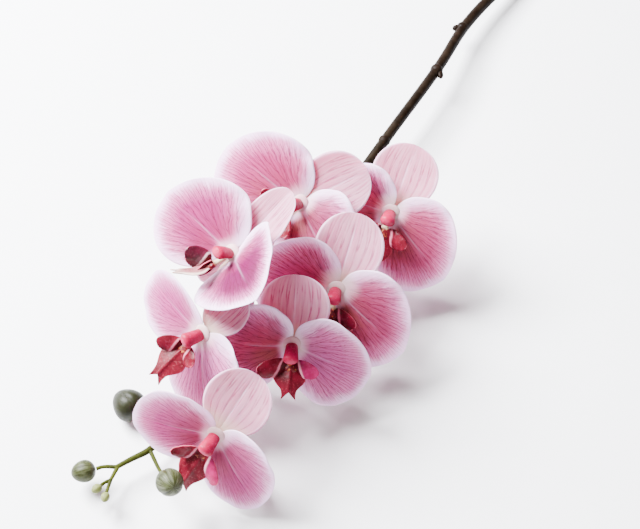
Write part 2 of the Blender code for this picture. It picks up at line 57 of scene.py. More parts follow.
class Kind(Enum):
    """The blades of a bloom."""

    PETAL_RIGHT = "petal_right"
    PETAL_LEFT = "petal_left"
    DORSAL = "dorsal_sepal"
    SEPAL_RIGHT = "sepal_right"
    SEPAL_LEFT = "sepal_left"

    @property
    def is_petal(self) -> bool:
        """Whether the blade is one of the two broad petals."""
        return self in (Kind.PETAL_RIGHT, Kind.PETAL_LEFT)

    @property
    def mirrored(self) -> bool:
        """Whether the blade is made as a mirror image."""
        return self in (Kind.PETAL_LEFT, Kind.SEPAL_LEFT)


@dataclass(frozen=True)
class Blade:
    """A petal or sepal: its flat outline, how it bends, how its edge waves and how it is coloured.

    Depth is how strong the pink and magenta are. It is partly the petal's own colour and partly painted
    light and shade: a high depth turns a petal that lies in shade crimson, and a low depth lightens a petal
    that lies in shade. White is how far the whitish claw spreads on the upper side, and rich the share of
    wine colour.
    """

    turn: float = 0.0
    length: float = 45.0
    upper: float = 27.0
    lower: float = 26.0
    claw: float = 2.4
    rise: float = 12.0
    bend: float = -22.0
    cup: float = 0.35
    fold: float = 0.0
    power: float = 0.95
    shoulder: float = 0.0
    heel: float = 0.0
    wave: float = 0.9
    # Partly the pink's own strength; painted shade where it is high, painted light where it is low
    depth: float = 0.5
    white: float = 0.7
    rich: float = 0.0


PETAL = Blade(shoulder=0.3)
DORSAL = Blade(length=38, upper=19, lower=19, rise=-12, bend=-16, cup=0.8, wave=0.5)
LATERAL = Blade(length=38, upper=12.5, lower=12.5, rise=-14, bend=-14, cup=0.6, wave=0.5)

BLADE_ROOT = 3.4
PETAL_LIFT = 1.6
UNDER_LIFT = -1.8
SIDE_SEPAL_ANGLE = 48
FIRST_ANGLE = 6.0
LAST_ANGLE = 178.0
PETAL_GRID = (56, 48)
SEPAL_GRID = (44, 30)
EDGE_CROWDING = 1.2
PETAL_MAP_HALF = 0.585
SEPAL_MAP_HALF = 0.5
BLADE_THICKNESS = 0.62
EDGE_THINNING = 0.55
TIP_THINNING = 0.5
TIP_START = 0.9
THINNEST = 0.05
SEED_SCALE = 0.37
INNER_CLAW = 5.5
MEET_WIDTH = 6.0
MEET_SHARE = 0.5
MEET_END = 0.22
# Waves round the edge: how many in a full turn, how high, and the power that keeps them near the edge
EDGE_WAVES = ((3, 1.0, 3), (7, 0.45, 5), (13, 0.18, 7))
WAVE_START = (0.08, 0.35)
CREASE_WIDTH = 0.9
CREASE_START = (0.02, 0.2)
CREASE_END = (0.72, 0.95)
PETAL_CREASE = 0.4
SEPAL_CREASE = 0.25


class Tint(Enum):
    """The colour of a side lobe's face."""

    CRIMSON = "crimson"
    BRIGHT = "bright"
    MAROON = "maroon"


@dataclass(frozen=True)
class Lobe:
    """A side lobe of the lip: how far it turns outwards, rises and leans, and its outline."""

    spread: float = 50.0
    rise: float = 18.0
    lean: float = 140.0
    length: float = 15.0
    upper: float = 4.6
    lower: float = 5.0
    bend: float = 24.0
    cup: float = 5.0
    tint: Tint = Tint.CRIMSON


LOBE = Lobe()


@dataclass(frozen=True)
class BloomPlan:
    """Where one bloom sits, how it faces, and the shapes of its blades, column and lip."""

    centre: Point
    heading: float
    elevation: float
    roll: float
    joint: Point
    leave: Point
    left: Blade = PETAL
    right: Blade = PETAL
    dorsal: Blade = DORSAL
    side_left: Blade = LATERAL
    side_right: Blade = LATERAL
    column_pitch: float = 58.0
    lip_pitch: float = 32.0
    lip_yaw: float = 0.0
    lip_roll: float = 0.0
    lip_length: float = 23.0
    lip_bend: float = -34.0
    lip_pale: bool = False
    lobe_left: Lobe = LOBE
    lobe_right: Lobe = LOBE
    neck: float = 9.0


# Depths of 0.78 and up paint shade on petals in shade; those of the right petals of blooms 5, 6 paint light
BLOOMS = [
    BloomPlan((44, -344, 48), 25, 40, -14, (2, -312, 17), (10, 2, 6),
              left=replace(PETAL, turn=4, length=38, upper=24, lower=24, rise=0, bend=-30,
                           depth=0.85, white=1.0),
              right=replace(PETAL, turn=31, depth=1.2),
              dorsal=replace(DORSAL, rise=-18), side_left=replace(LATERAL, rise=-28)),
    BloomPlan((1, -371, 54), 11, 50, -46, (4, -345, 14), (-4, 4, 10),
              left=replace(PETAL, turn=26, length=50, upper=28, lower=28, depth=0.8),
              right=replace(PETAL, turn=-5, length=40, rise=20, depth=1.0, rich=0.4),
              dorsal=replace(DORSAL, length=39, upper=19.5, rise=0)),
    BloomPlan((48, -405, 49), 28, 39, -13, (7, -382, 11), (10, 2, 6),
              left=replace(PETAL, turn=6, lower=22, bend=-40, depth=0.78, white=1.0),
              right=replace(PETAL, turn=25, length=46.5, depth=1.0, white=1.0),
              dorsal=replace(DORSAL, length=40), lip_pitch=18, lip_yaw=6),
    BloomPlan((-2.4, -429.7, 71.5), -16, 54, -2, (9, -408, 8.5), (-8, 2, 10),
              left=replace(PETAL, length=47, upper=30, rise=16, bend=-10,
                           depth=0.55, white=0.4, rich=0.3),
              right=replace(PETAL, rise=38, bend=-10, upper=31, lower=30, heel=0.4, cup=0.8, shoulder=0.1,
                            depth=0.6, white=0.0, rich=1.0),
              dorsal=replace(DORSAL, length=43, upper=11, lower=17, rise=-7, bend=4, fold=10),
              side_left=replace(LATERAL, length=29), column_pitch=66,
              lip_pitch=24, lip_yaw=-14, lip_roll=52, lip_length=20, lip_bend=24, lip_pale=True,
              lobe_left=replace(LOBE, spread=8, rise=36, lean=92, upper=6.4, lower=6.4, bend=-10,
                                tint=Tint.MAROON),
              lobe_right=replace(LOBE, spread=12, rise=-14, lean=100, length=11, upper=3.0, lower=3.0,
                                 bend=-20)),
    BloomPlan((46, -444, 44), 31, 25, -2, (10, -438, 8.5), (10, 2, 3),
              left=replace(PETAL, turn=6, length=41, rise=8, bend=-40, depth=0.95, white=0.3),
              right=replace(PETAL, turn=20, length=43, upper=25, shoulder=0.36, depth=0.2),
              dorsal=replace(DORSAL, rise=-20, length=34), neck=3, lip_pitch=50, lip_length=17,
              lobe_left=replace(LOBE, spread=56, length=17.5, upper=5, lower=6),
              lobe_right=replace(LOBE, spread=54, tint=Tint.BRIGHT)),
    BloomPlan((8, -471, 56), -8, 31, -32, (11, -476, 9), (-12, 10, 15),
              left=replace(PETAL, turn=24, length=42, rise=4, upper=14, lower=22, shoulder=0, depth=0.35),
              right=replace(PETAL, turn=32, rise=8, lower=22, shoulder=0.4, depth=0.1),
              dorsal=replace(DORSAL, turn=16, length=29, upper=12, lower=12, rise=-45, bend=42),
              neck=2, lip_pitch=42, lip_yaw=22,
              lobe_left=replace(LOBE, spread=34, length=14.5),
              lobe_right=replace(LOBE, spread=46, length=12)),
    BloomPlan((44, -510, 42), 12, 20, -20, (11, -503, 10), (14, 14, -2),
              left=replace(PETAL, turn=25, length=43, upper=24, lower=20, shoulder=0.18,
                           depth=0.7, white=0.4),
              right=replace(PETAL, turn=32, length=44, upper=25, lower=20, depth=0.72, white=0.5),
              dorsal=replace(DORSAL, length=35, rise=-25, upper=18, lower=18),
              side_right=replace(LATERAL, length=41.2, rise=-18), neck=3,
              lobe_left=replace(LOBE, spread=44, length=16),
              lobe_right=replace(LOBE, spread=40, length=17, tint=Tint.BRIGHT)),
]


@dataclass(frozen=True)
class BudPlan:
    """One closed bud: its centre, where its stalk leaves from, the stalk's bow, its size and its looks.

    Tone says how pale it is: 0 is dark, 1 is frosted and 2 is tender green. A positive blunt makes it fuller
    at its foot and narrower at its tip.
    """

    centre: Point
    joint: Point
    bow: Point
    half: float
    length: float
    stalk: float = 1.0
    tone: float = 0.5
    blunt: float = 0.12


BUDS = [
    BudPlan((-19, -508, 8.9), (11, -512, 11), (-6, -2, 0), 8.8, 19.0, 1.2, tone=0.0, blunt=0.24),
    BudPlan((-12, -555, 12), (1.0, -543, 12), (-6, -2, 0), 6.0, 13.0, tone=0.7),
    BudPlan((37, -542, 31), (9, -525, 12), (6, -4, -10), 7.2, 16.0, tone=1.0),
    BudPlan((0.5, -559.5, 13), (3, -551, 12), (-2, -2, 0), 2.4, 6.0, 0.9, tone=2.0),
    BudPlan((7.5, -561, 13.5), (3, -551, 12), (1, -3, 0), 2.3, 6.0, 0.9, tone=2.0),
]

# Points as x, y, z and radius
STALK_ROUTE = [
    (0, 9, 3.30, 3.5), (0, -9, 3.30, 3.5), (-2.6, -50, 5.0, 3.4), (-7.1, -108, 9.8, 3.4),
    (-9.4, -167.5, 14, 3.35), (-3.3, -213, 18, 3.2), (1, -280, 19, 3.1), (3, -325, 16, 2.9),
    (6, -370, 11, 2.6), (9, -420, 8.5, 2.3), (11, -468, 8.5, 2.0), (11, -503, 10, 1.9),
    (9, -525, 12, 1.8), (4, -536, 12, 1.5), (0.5, -544, 12, 1.3),
]
TIP_BRANCH = [(1.2, -542, 12, 1.2), (3, -551, 12, 1.0)]
# The point of the route where the bare part of the stalk ends
GREEN_START = 8
# Rings of the bare stalk: x, y, z and radius, and the heading and length of the bract beside them
STALK_JOINTS = [
    (-9.6, -174, 14.5, 3.9, 214, 6.0),
    (-3.0, -216, 18.1, 3.9, -25, 9.0),
    (1, -282, 19.0, 3.6, -60, 4.5),
]

BUD_CREASES = 3
# How near to a crease its dent and its dark line of painted shade reach, as the sine of the angle
CREASE_SHARE = 0.16
BUD_SEAT = 0.3
BUD_STALK_BOW = 0.35
BUD_STALK_FOOT = 1.2
BUD_STALK_END = 1.1

# Shares along the column below its cap, and how full it is there
COLUMN_SHARES = (0.0, 0.25, 0.55, 0.8)
COLUMN_SWELL = (0.86, 0.92, 1.0, 1.1)
LIP_FOOT = (0.0, -3.1, 2.6)
LIP_CLAW = 10.4
# Shares along the claw and callus, and the half width and half height there
CLAW_SHARES = (0.0, 0.1, 0.4, 0.66, 0.88, 1.0)
CLAW_WIDE = (1.0, 1.4, 1.8, 3.4, 4.0, 1.4)
CLAW_TALL = (0.8, 1.2, 1.5, 2.0, 1.6, 0.7)
# Shares along the lip's middle lobe, and its half width there
MIDLOBE_SHARES = (0.0, 0.08, 0.2, 0.32, 0.44, 0.56, 0.68, 0.78, 0.88, 1.0)
MIDLOBE_HALVES = (2.4, 3.6, 6.6, 8.4, 8.7, 7.6, 5.7, 4.2, 3.7, 4.0)

BLADE_GRAIN = 1500.0
FLOAT = "NodeSocketFloat"
VECTOR = "NodeSocketVector"
FAN_ROOT = 0.06
# Forks of the fan's veins: where each begins and ends, and how far it spreads as a share of a cell
FAN_FORKS = ((0.16, 0.48, 0.25), (0.36, 0.72, 0.125), (0.55, 0.95, 0.0625))

# Name, place in millimetres from the target, side in metres, power in watts and colour
LAMPS = (
    ("window", (-940, -40, 1010), 0.8, 222.0, (0.965, 0.98, 1.0)),
    ("fill", (500, -1500, 1300), 1.6, 16.0, (1.0, 0.95, 0.94)),
)


# Shader nodes

class Pen:
    """A node tree and short calls that add nodes to it."""

    def __init__(self, tree: bpy.types.NodeTree) -> None:
        """Keeps the tree.

        Args:
            tree: A material's or a group's node tree.
        """
        self.tree = tree

    def node(self, kind: str, **settings: object) -> bpy.types.Node:
        """Adds a node.

        Args:
            kind: The node type without its ShaderNode prefix.
            **settings: Properties of the node.

        Returns:
            The new node.
        """
        made = self.tree.nodes.new("ShaderNode" + kind)
        for name, value in settings.items():
            setattr(made, name, value)
        return made

    def feed(self, socket: bpy.types.NodeSocket, value: object) -> None:
        """Links or sets one input.

        Args:
            socket: The input.
            value: An output socket to link, or a plain value to set.
        """
        if isinstance(value, bpy.types.NodeSocket):
            self.tree.links.new(value, socket)
        else:
            socket.default_value = value

    def math(self, operation: str, *values: object) -> bpy.types.NodeSocket:
        """Adds a Math node.

        Args:
            operation: The Math node's operation.
            *values: Sockets or numbers for its inputs.

        Returns:
            Its output.
        """
        made = self.node("Math", operation=operation)
        for socket, value in zip(made.inputs, values):
            self.feed(socket, value)
        return made.outputs[0]

    def plus(self, first: object, second: object) -> bpy.types.NodeSocket:
        """Adds two values."""
        return self.math("ADD", first, second)

    def minus(self, first: object, second: object) -> bpy.types.NodeSocket:
        """Takes the second value from the first."""
        return self.math("SUBTRACT", first, second)

    def times(self, first: object, second: object) -> bpy.types.NodeSocket:
        """Multiplies two values."""
        return self.math("MULTIPLY", first, second)

    def over(self, first: object, second: object) -> bpy.types.NodeSocket:
        """Divides the first value by the second."""
        return self.math("DIVIDE", first, second)

    def off_whole(self, value: object) -> bpy.types.NodeSocket:
        """Tells how far a value is from the nearest whole number."""
        return self.math("ABSOLUTE", self.minus(self.math("FRACT", self.plus(value, 0.5)), 0.5))

    def step(self, value: object, low: float, high: float, start: float = 0.0,
             end: float = 1.0) -> bpy.types.NodeSocket:
        """Adds a smooth step from one value to another.

        Args:
            value: The value that is mapped.
            low: Where the step begins.
            high: Where it ends.
            start: The result below the step.
            end: The result above it.

        Returns:
            The result's socket.
        """
        made = self.node("MapRange", interpolation_type="SMOOTHSTEP")
        self.feed(made.inputs["Value"], value)
        made.inputs["From Min"].default_value = low
        made.inputs["From Max"].default_value = high
        made.inputs["To Min"].default_value = start
        made.inputs["To Max"].default_value = end
        return made.outputs["Result"]

    def noise(self, vector: object, scale: object, detail: float = 2.0,
              roughness: float = 0.5) -> bpy.types.NodeSocket:
        """Adds a noise texture.

        Args:
            vector: The coordinates.
            scale: The noise's scale, as a number or a socket.
            detail: Its number of octaves.
            roughness: How strong the finer octaves are.

        Returns:
            The noise's value, between 0 and 1.
        """
        made = self.node("TexNoise")
        self.feed(made.inputs["Vector"], vector)
        self.feed(made.inputs["Scale"], scale)
        made.inputs["Detail"].default_value = detail
        made.inputs["Roughness"].default_value = roughness
        return made.outputs["Fac"]

    def vector(self, x: object, y: object, z: object = 0.0) -> bpy.types.NodeSocket:
        """Puts three values together as a vector.

        Args:
            x: The first value.
            y: The second value.
            z: The third value.

        Returns:
            The vector's socket.
        """
        made = self.node("CombineXYZ")
        for socket, value in zip(made.inputs, (x, y, z)):
            self.feed(socket, value)
        return made.outputs[0]

    def parts(self, vector: object) -> list[bpy.types.NodeSocket]:
        """Takes a vector apart.

        Args:
            vector: The vector's socket.

        Returns:
            Its X, Y and Z sockets.
        """
        made = self.node("SeparateXYZ")
        self.feed(made.inputs[0], vector)
        return list(made.outputs)

    def mix(self, factor: object, first: object, second: object) -> bpy.types.NodeSocket:
        """Mixes two colours.

        Args:
            factor: The share of the second colour.
            first: The first colour.
            second: The second colour.

        Returns:
            The mixed colour.
        """
        made = self.node("Mix", data_type="RGBA")
        self.feed(made.inputs[0], factor)
        for socket, value in ((made.inputs[6], first), (made.inputs[7], second)):
            self.feed(socket, (*value, 1.0) if isinstance(value, tuple) and len(value) == 3 else value)
        return made.outputs[2]

    def map(self, name: str) -> bpy.types.NodeSocket:
        """Reads the mesh's map of this name."""
        return self.node("UVMap", uv_map=name).outputs[0]

    def group(self, tree: bpy.types.NodeTree, **values: object) -> bpy.types.Node:
        """Places a node group.

        Args:
            tree: The group.
            **values: Its inputs by name.

        Returns:
            The group's node.
        """
        made = self.node("Group", node_tree=tree)
        for name, value in values.items():
            self.feed(made.inputs[name], value)
        return made

    def bump(self, height: object, strength: float, distance: float) -> bpy.types.NodeSocket:
        """Adds a Bump node.

        Args:
            height: The height.
            strength: How strongly it shows.
            distance: The height's unit in metres.

        Returns:
            The new normal.
        """
        made = self.node("Bump")
        made.inputs["Strength"].default_value = strength
        made.inputs["Distance"].default_value = distance
        self.feed(made.inputs["Height"], height)
        return made.outputs[0]


class EffectGroup:
    """A shader node group with named inputs and outputs, built once and used by several materials."""

    def __init__(self, name: str, inputs: dict[str, str], outputs: dict[str, str]) -> None:
        """Makes the group's tree and its sockets.

        Args:
            name: The group's name.
            inputs: Socket type by input name.
            outputs: Socket type by output name.
        """
        self.tree = bpy.data.node_groups.new(name, "ShaderNodeTree")
        for label, kind in inputs.items():
            self.tree.interface.new_socket(label, in_out="INPUT", socket_type=kind)
        for label, kind in outputs.items():
            self.tree.interface.new_socket(label, in_out="OUTPUT", socket_type=kind)
        self.pen = Pen(self.tree)
        self.inputs = self.tree.nodes.new("NodeGroupInput").outputs
        self.outputs = self.tree.nodes.new("NodeGroupOutput").inputs

    def give(self, name: str, value: object) -> None:
        """Links a value to the group's output of this name."""
        self.pen.feed(self.outputs[name], value)


def vein_fan_group() -> bpy.types.NodeTree:
    """Veins that leave the root of a blade as a fan and fork three times on their way to the edge.

    Returns:
        The group. Place is the blade's map, Seed varies the veins, Cells is the number of veins in half a
        turn at the root, and Width is a vein's half width as a share of the blade's length. Vein is the
        mask of the veins, Streak a noise drawn out along them, and Radius the distance from the root.
    """
    effect = EffectGroup("vein fan", {"Place": VECTOR, "Seed": FLOAT, "Cells": FLOAT, "Width": FLOAT},
                         {"Vein": FLOAT, "Streak": FLOAT, "Radius": FLOAT})
    pen = effect.pen
    seed, cells = effect.inputs["Seed"], effect.inputs["Cells"]
    u, v, _ = pen.parts(effect.inputs["Place"])
    x = pen.plus(u, FAN_ROOT)
    wobble = pen.noise(pen.vector(u, v, seed), 7.0, 2.0)
    y = pen.plus(pen.minus(v, 0.5), pen.times(pen.minus(wobble, 0.5), 0.055))
    angle = pen.math("ARCTAN2", y, x)
    radius = pen.math("SQRT", pen.plus(pen.times(x, x), pen.times(y, y)))
    turns = pen.plus(pen.times(angle, pen.over(cells, math.pi)), seed)
    own = pen.noise(pen.vector(pen.math("FLOOR", pen.plus(turns, 0.5)), seed), 3.1, 0.0)
    reach = pen.plus(radius, pen.times(pen.minus(own, 0.5), 0.35))
    cell = pen.off_whole(turns)
    for low, high, spread in FAN_FORKS:
        cell = pen.math("ABSOLUTE", pen.minus(cell, pen.step(reach, low, high, 0.0, spread)))
    distance = pen.times(pen.times(cell, pen.over(math.pi, cells)), radius)
    share = pen.over(distance, effect.inputs["Width"])
    breaks = pen.noise(pen.vector(u, v, seed), 26.0, 2.0)
    vein = pen.times(pen.step(share, 0.3, 1.3, 1.0, 0.0), pen.step(breaks, 0.3, 0.62, 0.45, 1.0))
    streak = pen.noise(pen.vector(pen.times(angle, 9.0), pen.times(radius, 2.2), seed), 3.0, 4.0, 0.62)
    effect.give("Vein", vein)
    effect.give("Streak", streak)
    effect.give("Radius", radius)
    return effect.tree


def long_vein_group() -> bpy.types.NodeTree:
    """Veins that spread from the foot of a sepal, run on to its tip and fork once.

    Returns:
        The group. Place is the blade's map, Seed varies the veins and Count is their number across the
        half blade. Vein is the mask of the veins, Streak a noise drawn out along them, and Side runs from
        -1 at one edge to 1 at the other.
    """
    effect = EffectGroup("long veins", {"Place": VECTOR, "Seed": FLOAT, "Count": FLOAT},
                         {"Vein": FLOAT, "Streak": FLOAT, "Side": FLOAT})
    pen = effect.pen
    seed = effect.inputs["Seed"]
    u, v, _ = pen.parts(effect.inputs["Place"])
    flat = pen.times(pen.minus(v, 0.5), 2.0)
    full = pen.times(pen.times(u, pen.minus(1.0, u)), 4.0)
    half = pen.math("SQRT", pen.math("MAXIMUM", full, 0.01))
    spread = pen.times(pen.step(u, 0.45, 0.75, 0.0, 0.55), pen.minus(1.0, half))
    across = pen.over(flat, pen.plus(half, spread))
    wobble = pen.noise(pen.vector(pen.times(u, 1.3), across, seed), 2.0, 1.0)
    across = pen.plus(across, pen.times(pen.minus(wobble, 0.5), 0.08))
    cell = pen.off_whole(pen.times(across, effect.inputs["Count"]))
    cell = pen.math("ABSOLUTE", pen.minus(cell, pen.step(u, 0.30, 0.95, 0.0, 0.24)))
    along = pen.times(u, 1.2)
    breaks = pen.noise(pen.vector(along, across, seed), 6.0, 3.0)
    vein = pen.times(pen.step(cell, 0.0, 0.17, 1.0, 0.0), pen.step(breaks, 0.30, 0.62, 0.5, 1.0))
    streak = pen.noise(pen.vector(along, pen.times(across, 7.0), seed), 1.8, 4.0, 0.6)
    effect.give("Vein", vein)
    effect.give("Streak", streak)
    effect.give("Side", pen.over(flat, half))
    return effect.tree


def fine_grain_group() -> bpy.types.NodeTree:
    """The fine grain of a petal's skin, from object coordinates.

    Returns:
        The group, with Scale as its input. Height is the fine grain and Cloud a much wider one.
    """
    effect = EffectGroup("fine grain", {"Scale": FLOAT}, {"Height": FLOAT, "Cloud": FLOAT})
    pen = effect.pen
    place = pen.node("TexCoord").outputs["Object"]
    effect.give("Height", pen.noise(place, effect.inputs["Scale"], 3.0))
    effect.give("Cloud", pen.noise(place, pen.over(effect.inputs["Scale"], 14.0)))
    return effect.tree


@dataclass(frozen=True)
class Effects:
    """The shared node groups."""

    fan: bpy.types.NodeTree
    long: bpy.types.NodeTree
    grain: bpy.types.NodeTree


def new_material(name: str, roughness: float, subsurface: float = 0.0, radius: float = 0.0015,
                 sheen: float = 0.0, gloss: float = 0.3) -> tuple[bpy.types.Material, Pen, bpy.types.Node]:
    """Starts a material.

    Args:
        name: Its name.
        roughness: Its roughness where nothing else is linked.
        subsurface: The share of light that goes through the surface.
        radius: How far that light spreads, in metres.
        sheen: The soft velvet sheen.
        gloss: The strength of its reflections.

    Returns:
        The material, its pen and its Principled shader.
    """
    made = bpy.data.materials.new(name)
    made.use_nodes = True
    shader = made.node_tree.nodes["Principled BSDF"]
    shader.inputs["Roughness"].default_value = roughness
    shader.inputs["Subsurface Weight"].default_value = subsurface
    shader.inputs["Subsurface Scale"].default_value = radius
    shader.inputs["Subsurface Radius"].default_value = (1.0, 0.42, 0.5)
    shader.inputs["Sheen Weight"].default_value = sheen
    shader.inputs["Sheen Roughness"].default_value = 0.5
    shader.inputs["Specular IOR Level"].default_value = gloss
    return made, Pen(made.node_tree), shader


def blade_material(name: str, sheen: float, gloss: float) -> tuple[bpy.types.Material, Pen, bpy.types.Node]:
    """Starts the material of a petal or sepal, which lets some light through."""
    return new_material(name, roughness=0.55, subsurface=0.4, radius=0.003, sheen=sheen, gloss=gloss)


def emboss(pen: Pen, shader: bpy.types.Node, effects: Effects, vein: bpy.types.NodeSocket,
           lift: float) -> bpy.types.Node:
    """Raises or sinks the veins of a blade and adds the fine grain of its skin.

    Args:
        pen: The material's pen.
        shader: Its Principled shader.
        effects: The shared node groups.
        vein: The mask of the veins.
        lift: How far the veins stand out, or sink in where it is negative, as a share of the relief.

    Returns:
        The grain's node.
    """
    grain = pen.group(effects.grain, Scale=BLADE_GRAIN)
    height = pen.plus(pen.times(vein, lift), pen.times(grain.outputs["Height"], 0.5))
    pen.feed(shader.inputs["Normal"], pen.bump(height, strength=0.35, distance=0.0002))
    return grain


@dataclass(frozen=True)
class PetalFinish:
    """The front of a petal: white margin, lilac and pink body, magenta heart, dark veins, whitish claw,
    crimson painted shade on its lower half and on petals that lie in shade, and a painted highlight
    along the midline crease.

    A span says where a zone begins and ends, as shares of the petal's length or half width.
    """

    margin: Colour = (0.82, 0.54, 0.80)
    lilac: Colour = (0.56, 0.175, 0.37)
    pink: Colour = (0.34, 0.036, 0.185)
    deep: Colour = (0.225, 0.017, 0.082)
    # Painted shade: the crimson given to the lower half of a petal and to petals that lie in shade
    crimson: Colour = (0.23, 0.045, 0.055)
    wine: Colour = (0.10, 0.003, 0.045)
    vein: Colour = (0.055, 0.002, 0.018)
    claw: Colour = (0.62, 0.45, 0.43)
    veins: float = 10.0
    vein_width: float = 0.0048
    vein_strength: float = 0.7
    vein_relief: float = -0.6
    small_veins: float = 17.0
    small_width: float = 0.0035
    small_strength: float = 0.55
    vein_start: Span = (0.12, 0.30)
    vein_end: Span = (0.72, 1.0)
    fray_streaks: float = 0.26
    fray_clouds: float = 0.30
    edge_fray: Span = (0.66, 1.06)
    edge_rim: Span = (0.86, 1.0)
    body_fray: Span = (0.30, 0.92)
    heart_streaks: float = 0.5
    heart_reach: Span = (0.28, 0.84)
    heart_fans: Span = (0.0, 0.25)
    # Painted shade: the heart is stronger on the petal's lower half
    heart_shade_side: Span = (0.34, 0.74)
    heart_rim: Span = (0.70, 0.98)
    # Painted shade: crimson on the lower half of the heart
    painted_shade_side: Span = (0.40, 0.70)
    root_streaks: float = 0.12
    root_side: Span = (0.48, 0.74)
    claw_end: Span = (0.08, 0.26)
    claw_fade: Span = (0.05, 0.25)
    # Painted highlight: a pale line along the midline crease
    crease_highlight_half: Span = (0.002, 0.020)
    crease_highlight_run: Span = (0.30, 0.70)
    crease_highlight_strength: float = 0.15

    def build(self, effects: Effects) -> bpy.types.Material:
        """Makes the material.

        Args:
            effects: The shared node groups.

        Returns:
            The material.
        """
        made, pen, shader = blade_material("petal_front", 0.0, 0.1)
        place = pen.map("blade")
        seed, depth, _ = pen.parts(pen.map("piece"))
        white, rich, _ = pen.parts(pen.map("claw"))
        u, v, _ = pen.parts(place)
        fan = pen.group(effects.fan, Place=place, Seed=seed, Cells=self.veins, Width=self.vein_width)
        radius, streak, vein = fan.outputs["Radius"], fan.outputs["Streak"], fan.outputs["Vein"]
        rim_x = pen.over(pen.minus(u, 0.5), 0.5)
        rim_y = pen.over(pen.minus(v, 0.5), PETAL_MAP_HALF)
        rim = pen.math("SQRT", pen.plus(pen.times(rim_x, rim_x), pen.times(rim_y, rim_y)))
        ragged = pen.minus(streak, 0.5)
        cloud = pen.minus(pen.noise(pen.vector(u, v, seed), 4.0, 2.0), 0.5)
        fray = pen.plus(rim, pen.times(ragged, self.fray_streaks))
        fray = pen.plus(fray, pen.times(cloud, self.fray_clouds))
        root = pen.plus(radius, pen.times(ragged, self.root_streaks))
        root = pen.minus(root, pen.times(pen.step(v, *self.root_side, 0.0, 0.12), white))
        root = pen.plus(root, pen.times(pen.minus(1.0, white), 0.05))
        out_of_claw = pen.step(root, *self.claw_end)
        edging = pen.times(pen.step(fray, *self.edge_fray, 1.0, 0.0), pen.step(rim, *self.edge_rim, 1.0, 0.1))
        body = pen.times(pen.step(fray, *self.body_fray, 1.0, 0.0), out_of_claw)
        reach = pen.plus(radius, pen.times(ragged, self.heart_streaks))
        middle = pen.math("ABSOLUTE", pen.minus(v, 0.5))
        fans = pen.step(pen.over(middle, pen.plus(radius, 0.02)), *self.heart_fans, 0.6, 1.0)
        heart = pen.times(pen.times(pen.step(reach, *self.heart_reach, 1.0, 0.0), out_of_claw), fans)
        # Painted shade: the heart is stronger on the petal's lower half
        heart = pen.times(heart, pen.step(v, *self.heart_shade_side, 1.0, 0.75))
        heart = pen.times(heart, pen.step(rim, *self.heart_rim, 1.0, 0.0))
        # Painted shade: crimson on the lower half of the heart, where the depth is above 0.6
        painted_shade = pen.times(heart, pen.step(v, *self.painted_shade_side, 1.0, 0.4))
        colour = pen.mix(edging, self.margin, self.lilac)
        # Painted light and shade: a depth above 0.6 turns the pink body crimson, and a low depth leaves it
        # lilac
        shaded_flush = pen.mix(pen.step(depth, 0.6, 1.0, 0.0, 0.5), self.pink, self.crimson)
        colour = pen.mix(pen.times(body, pen.step(depth, 0.0, 0.5, 0.45, 1.0)), colour, shaded_flush)
        colour = pen.mix(pen.times(heart, pen.step(depth, 0.0, 0.6)), colour, self.deep)
        colour = pen.mix(pen.times(painted_shade, pen.step(depth, 0.6, 1.0)), colour, self.crimson)
        colour = pen.mix(pen.times(body, rich), colour, self.wine)
        small = pen.group(effects.fan, Place=place, Seed=pen.plus(seed, 4.3), Cells=self.small_veins,
                          Width=self.small_width)
        shown = pen.math("MAXIMUM", vein, pen.times(small.outputs["Vein"], self.small_strength))
        shown = pen.times(shown, pen.step(rim, *self.vein_end, 1.0, 0.12))
        shown = pen.times(shown, pen.step(radius, *self.vein_start))
        colour = pen.mix(pen.times(shown, self.vein_strength), colour, self.vein)
        # Painted highlight along the midline crease
        crease_highlight = pen.step(middle, *self.crease_highlight_half, 1.0, 0.0)
        crease_highlight = pen.times(crease_highlight, pen.step(u, *self.crease_highlight_run, 1.0, 0.0))
        colour = pen.mix(pen.times(crease_highlight, self.crease_highlight_strength), colour, self.margin)
        colour = pen.mix(pen.step(root, *self.claw_fade, 0.9, 0.0), colour, self.claw)
        pen.feed(shader.inputs["Base Color"], colour)
        grain = emboss(pen, shader, effects, vein, self.vein_relief)
        pen.feed(shader.inputs["Roughness"], pen.step(grain.outputs["Cloud"], 0.3, 0.7, 0.44, 0.56))
        return made


@dataclass(frozen=True)
class BladeBackFinish:
    """The back of a petal or sepal: paler, with faint veins."""

    name: str
    pale: Colour
    vein: Colour
    veins: float = 8.0
    vein_width: float = 0.010
    vein_strength: float = 0.45
    vein_relief: float = 1.0

    def build(self, effects: Effects) -> bpy.types.Material:
        """Makes the material.

        Args:
            effects: The shared node groups.

        Returns:
            The material.
        """
        made, pen, shader = blade_material(self.name, 0.05, 0.15)
        seed, depth, _ = pen.parts(pen.map("piece"))
        place = pen.map("blade")
        fan = pen.group(effects.fan, Place=place, Seed=seed, Cells=self.veins, Width=self.vein_width)
        body = pen.times(fan.outputs["Streak"], pen.step(fan.outputs["Radius"], 0.2, 0.8, 0.8, 0.2))
        # The depth, partly painted light and shade, sets how dark the back's streaks are
        share = pen.plus(0.3, pen.times(depth, 0.6))
        colour = pen.mix(pen.times(body, share), self.pale, self.vein)
        colour = pen.mix(pen.times(fan.outputs["Vein"], self.vein_strength), colour, self.vein)
        pen.feed(shader.inputs["Base Color"], colour)
        emboss(pen, shader, effects, fan.outputs["Vein"], self.vein_relief)
        return made


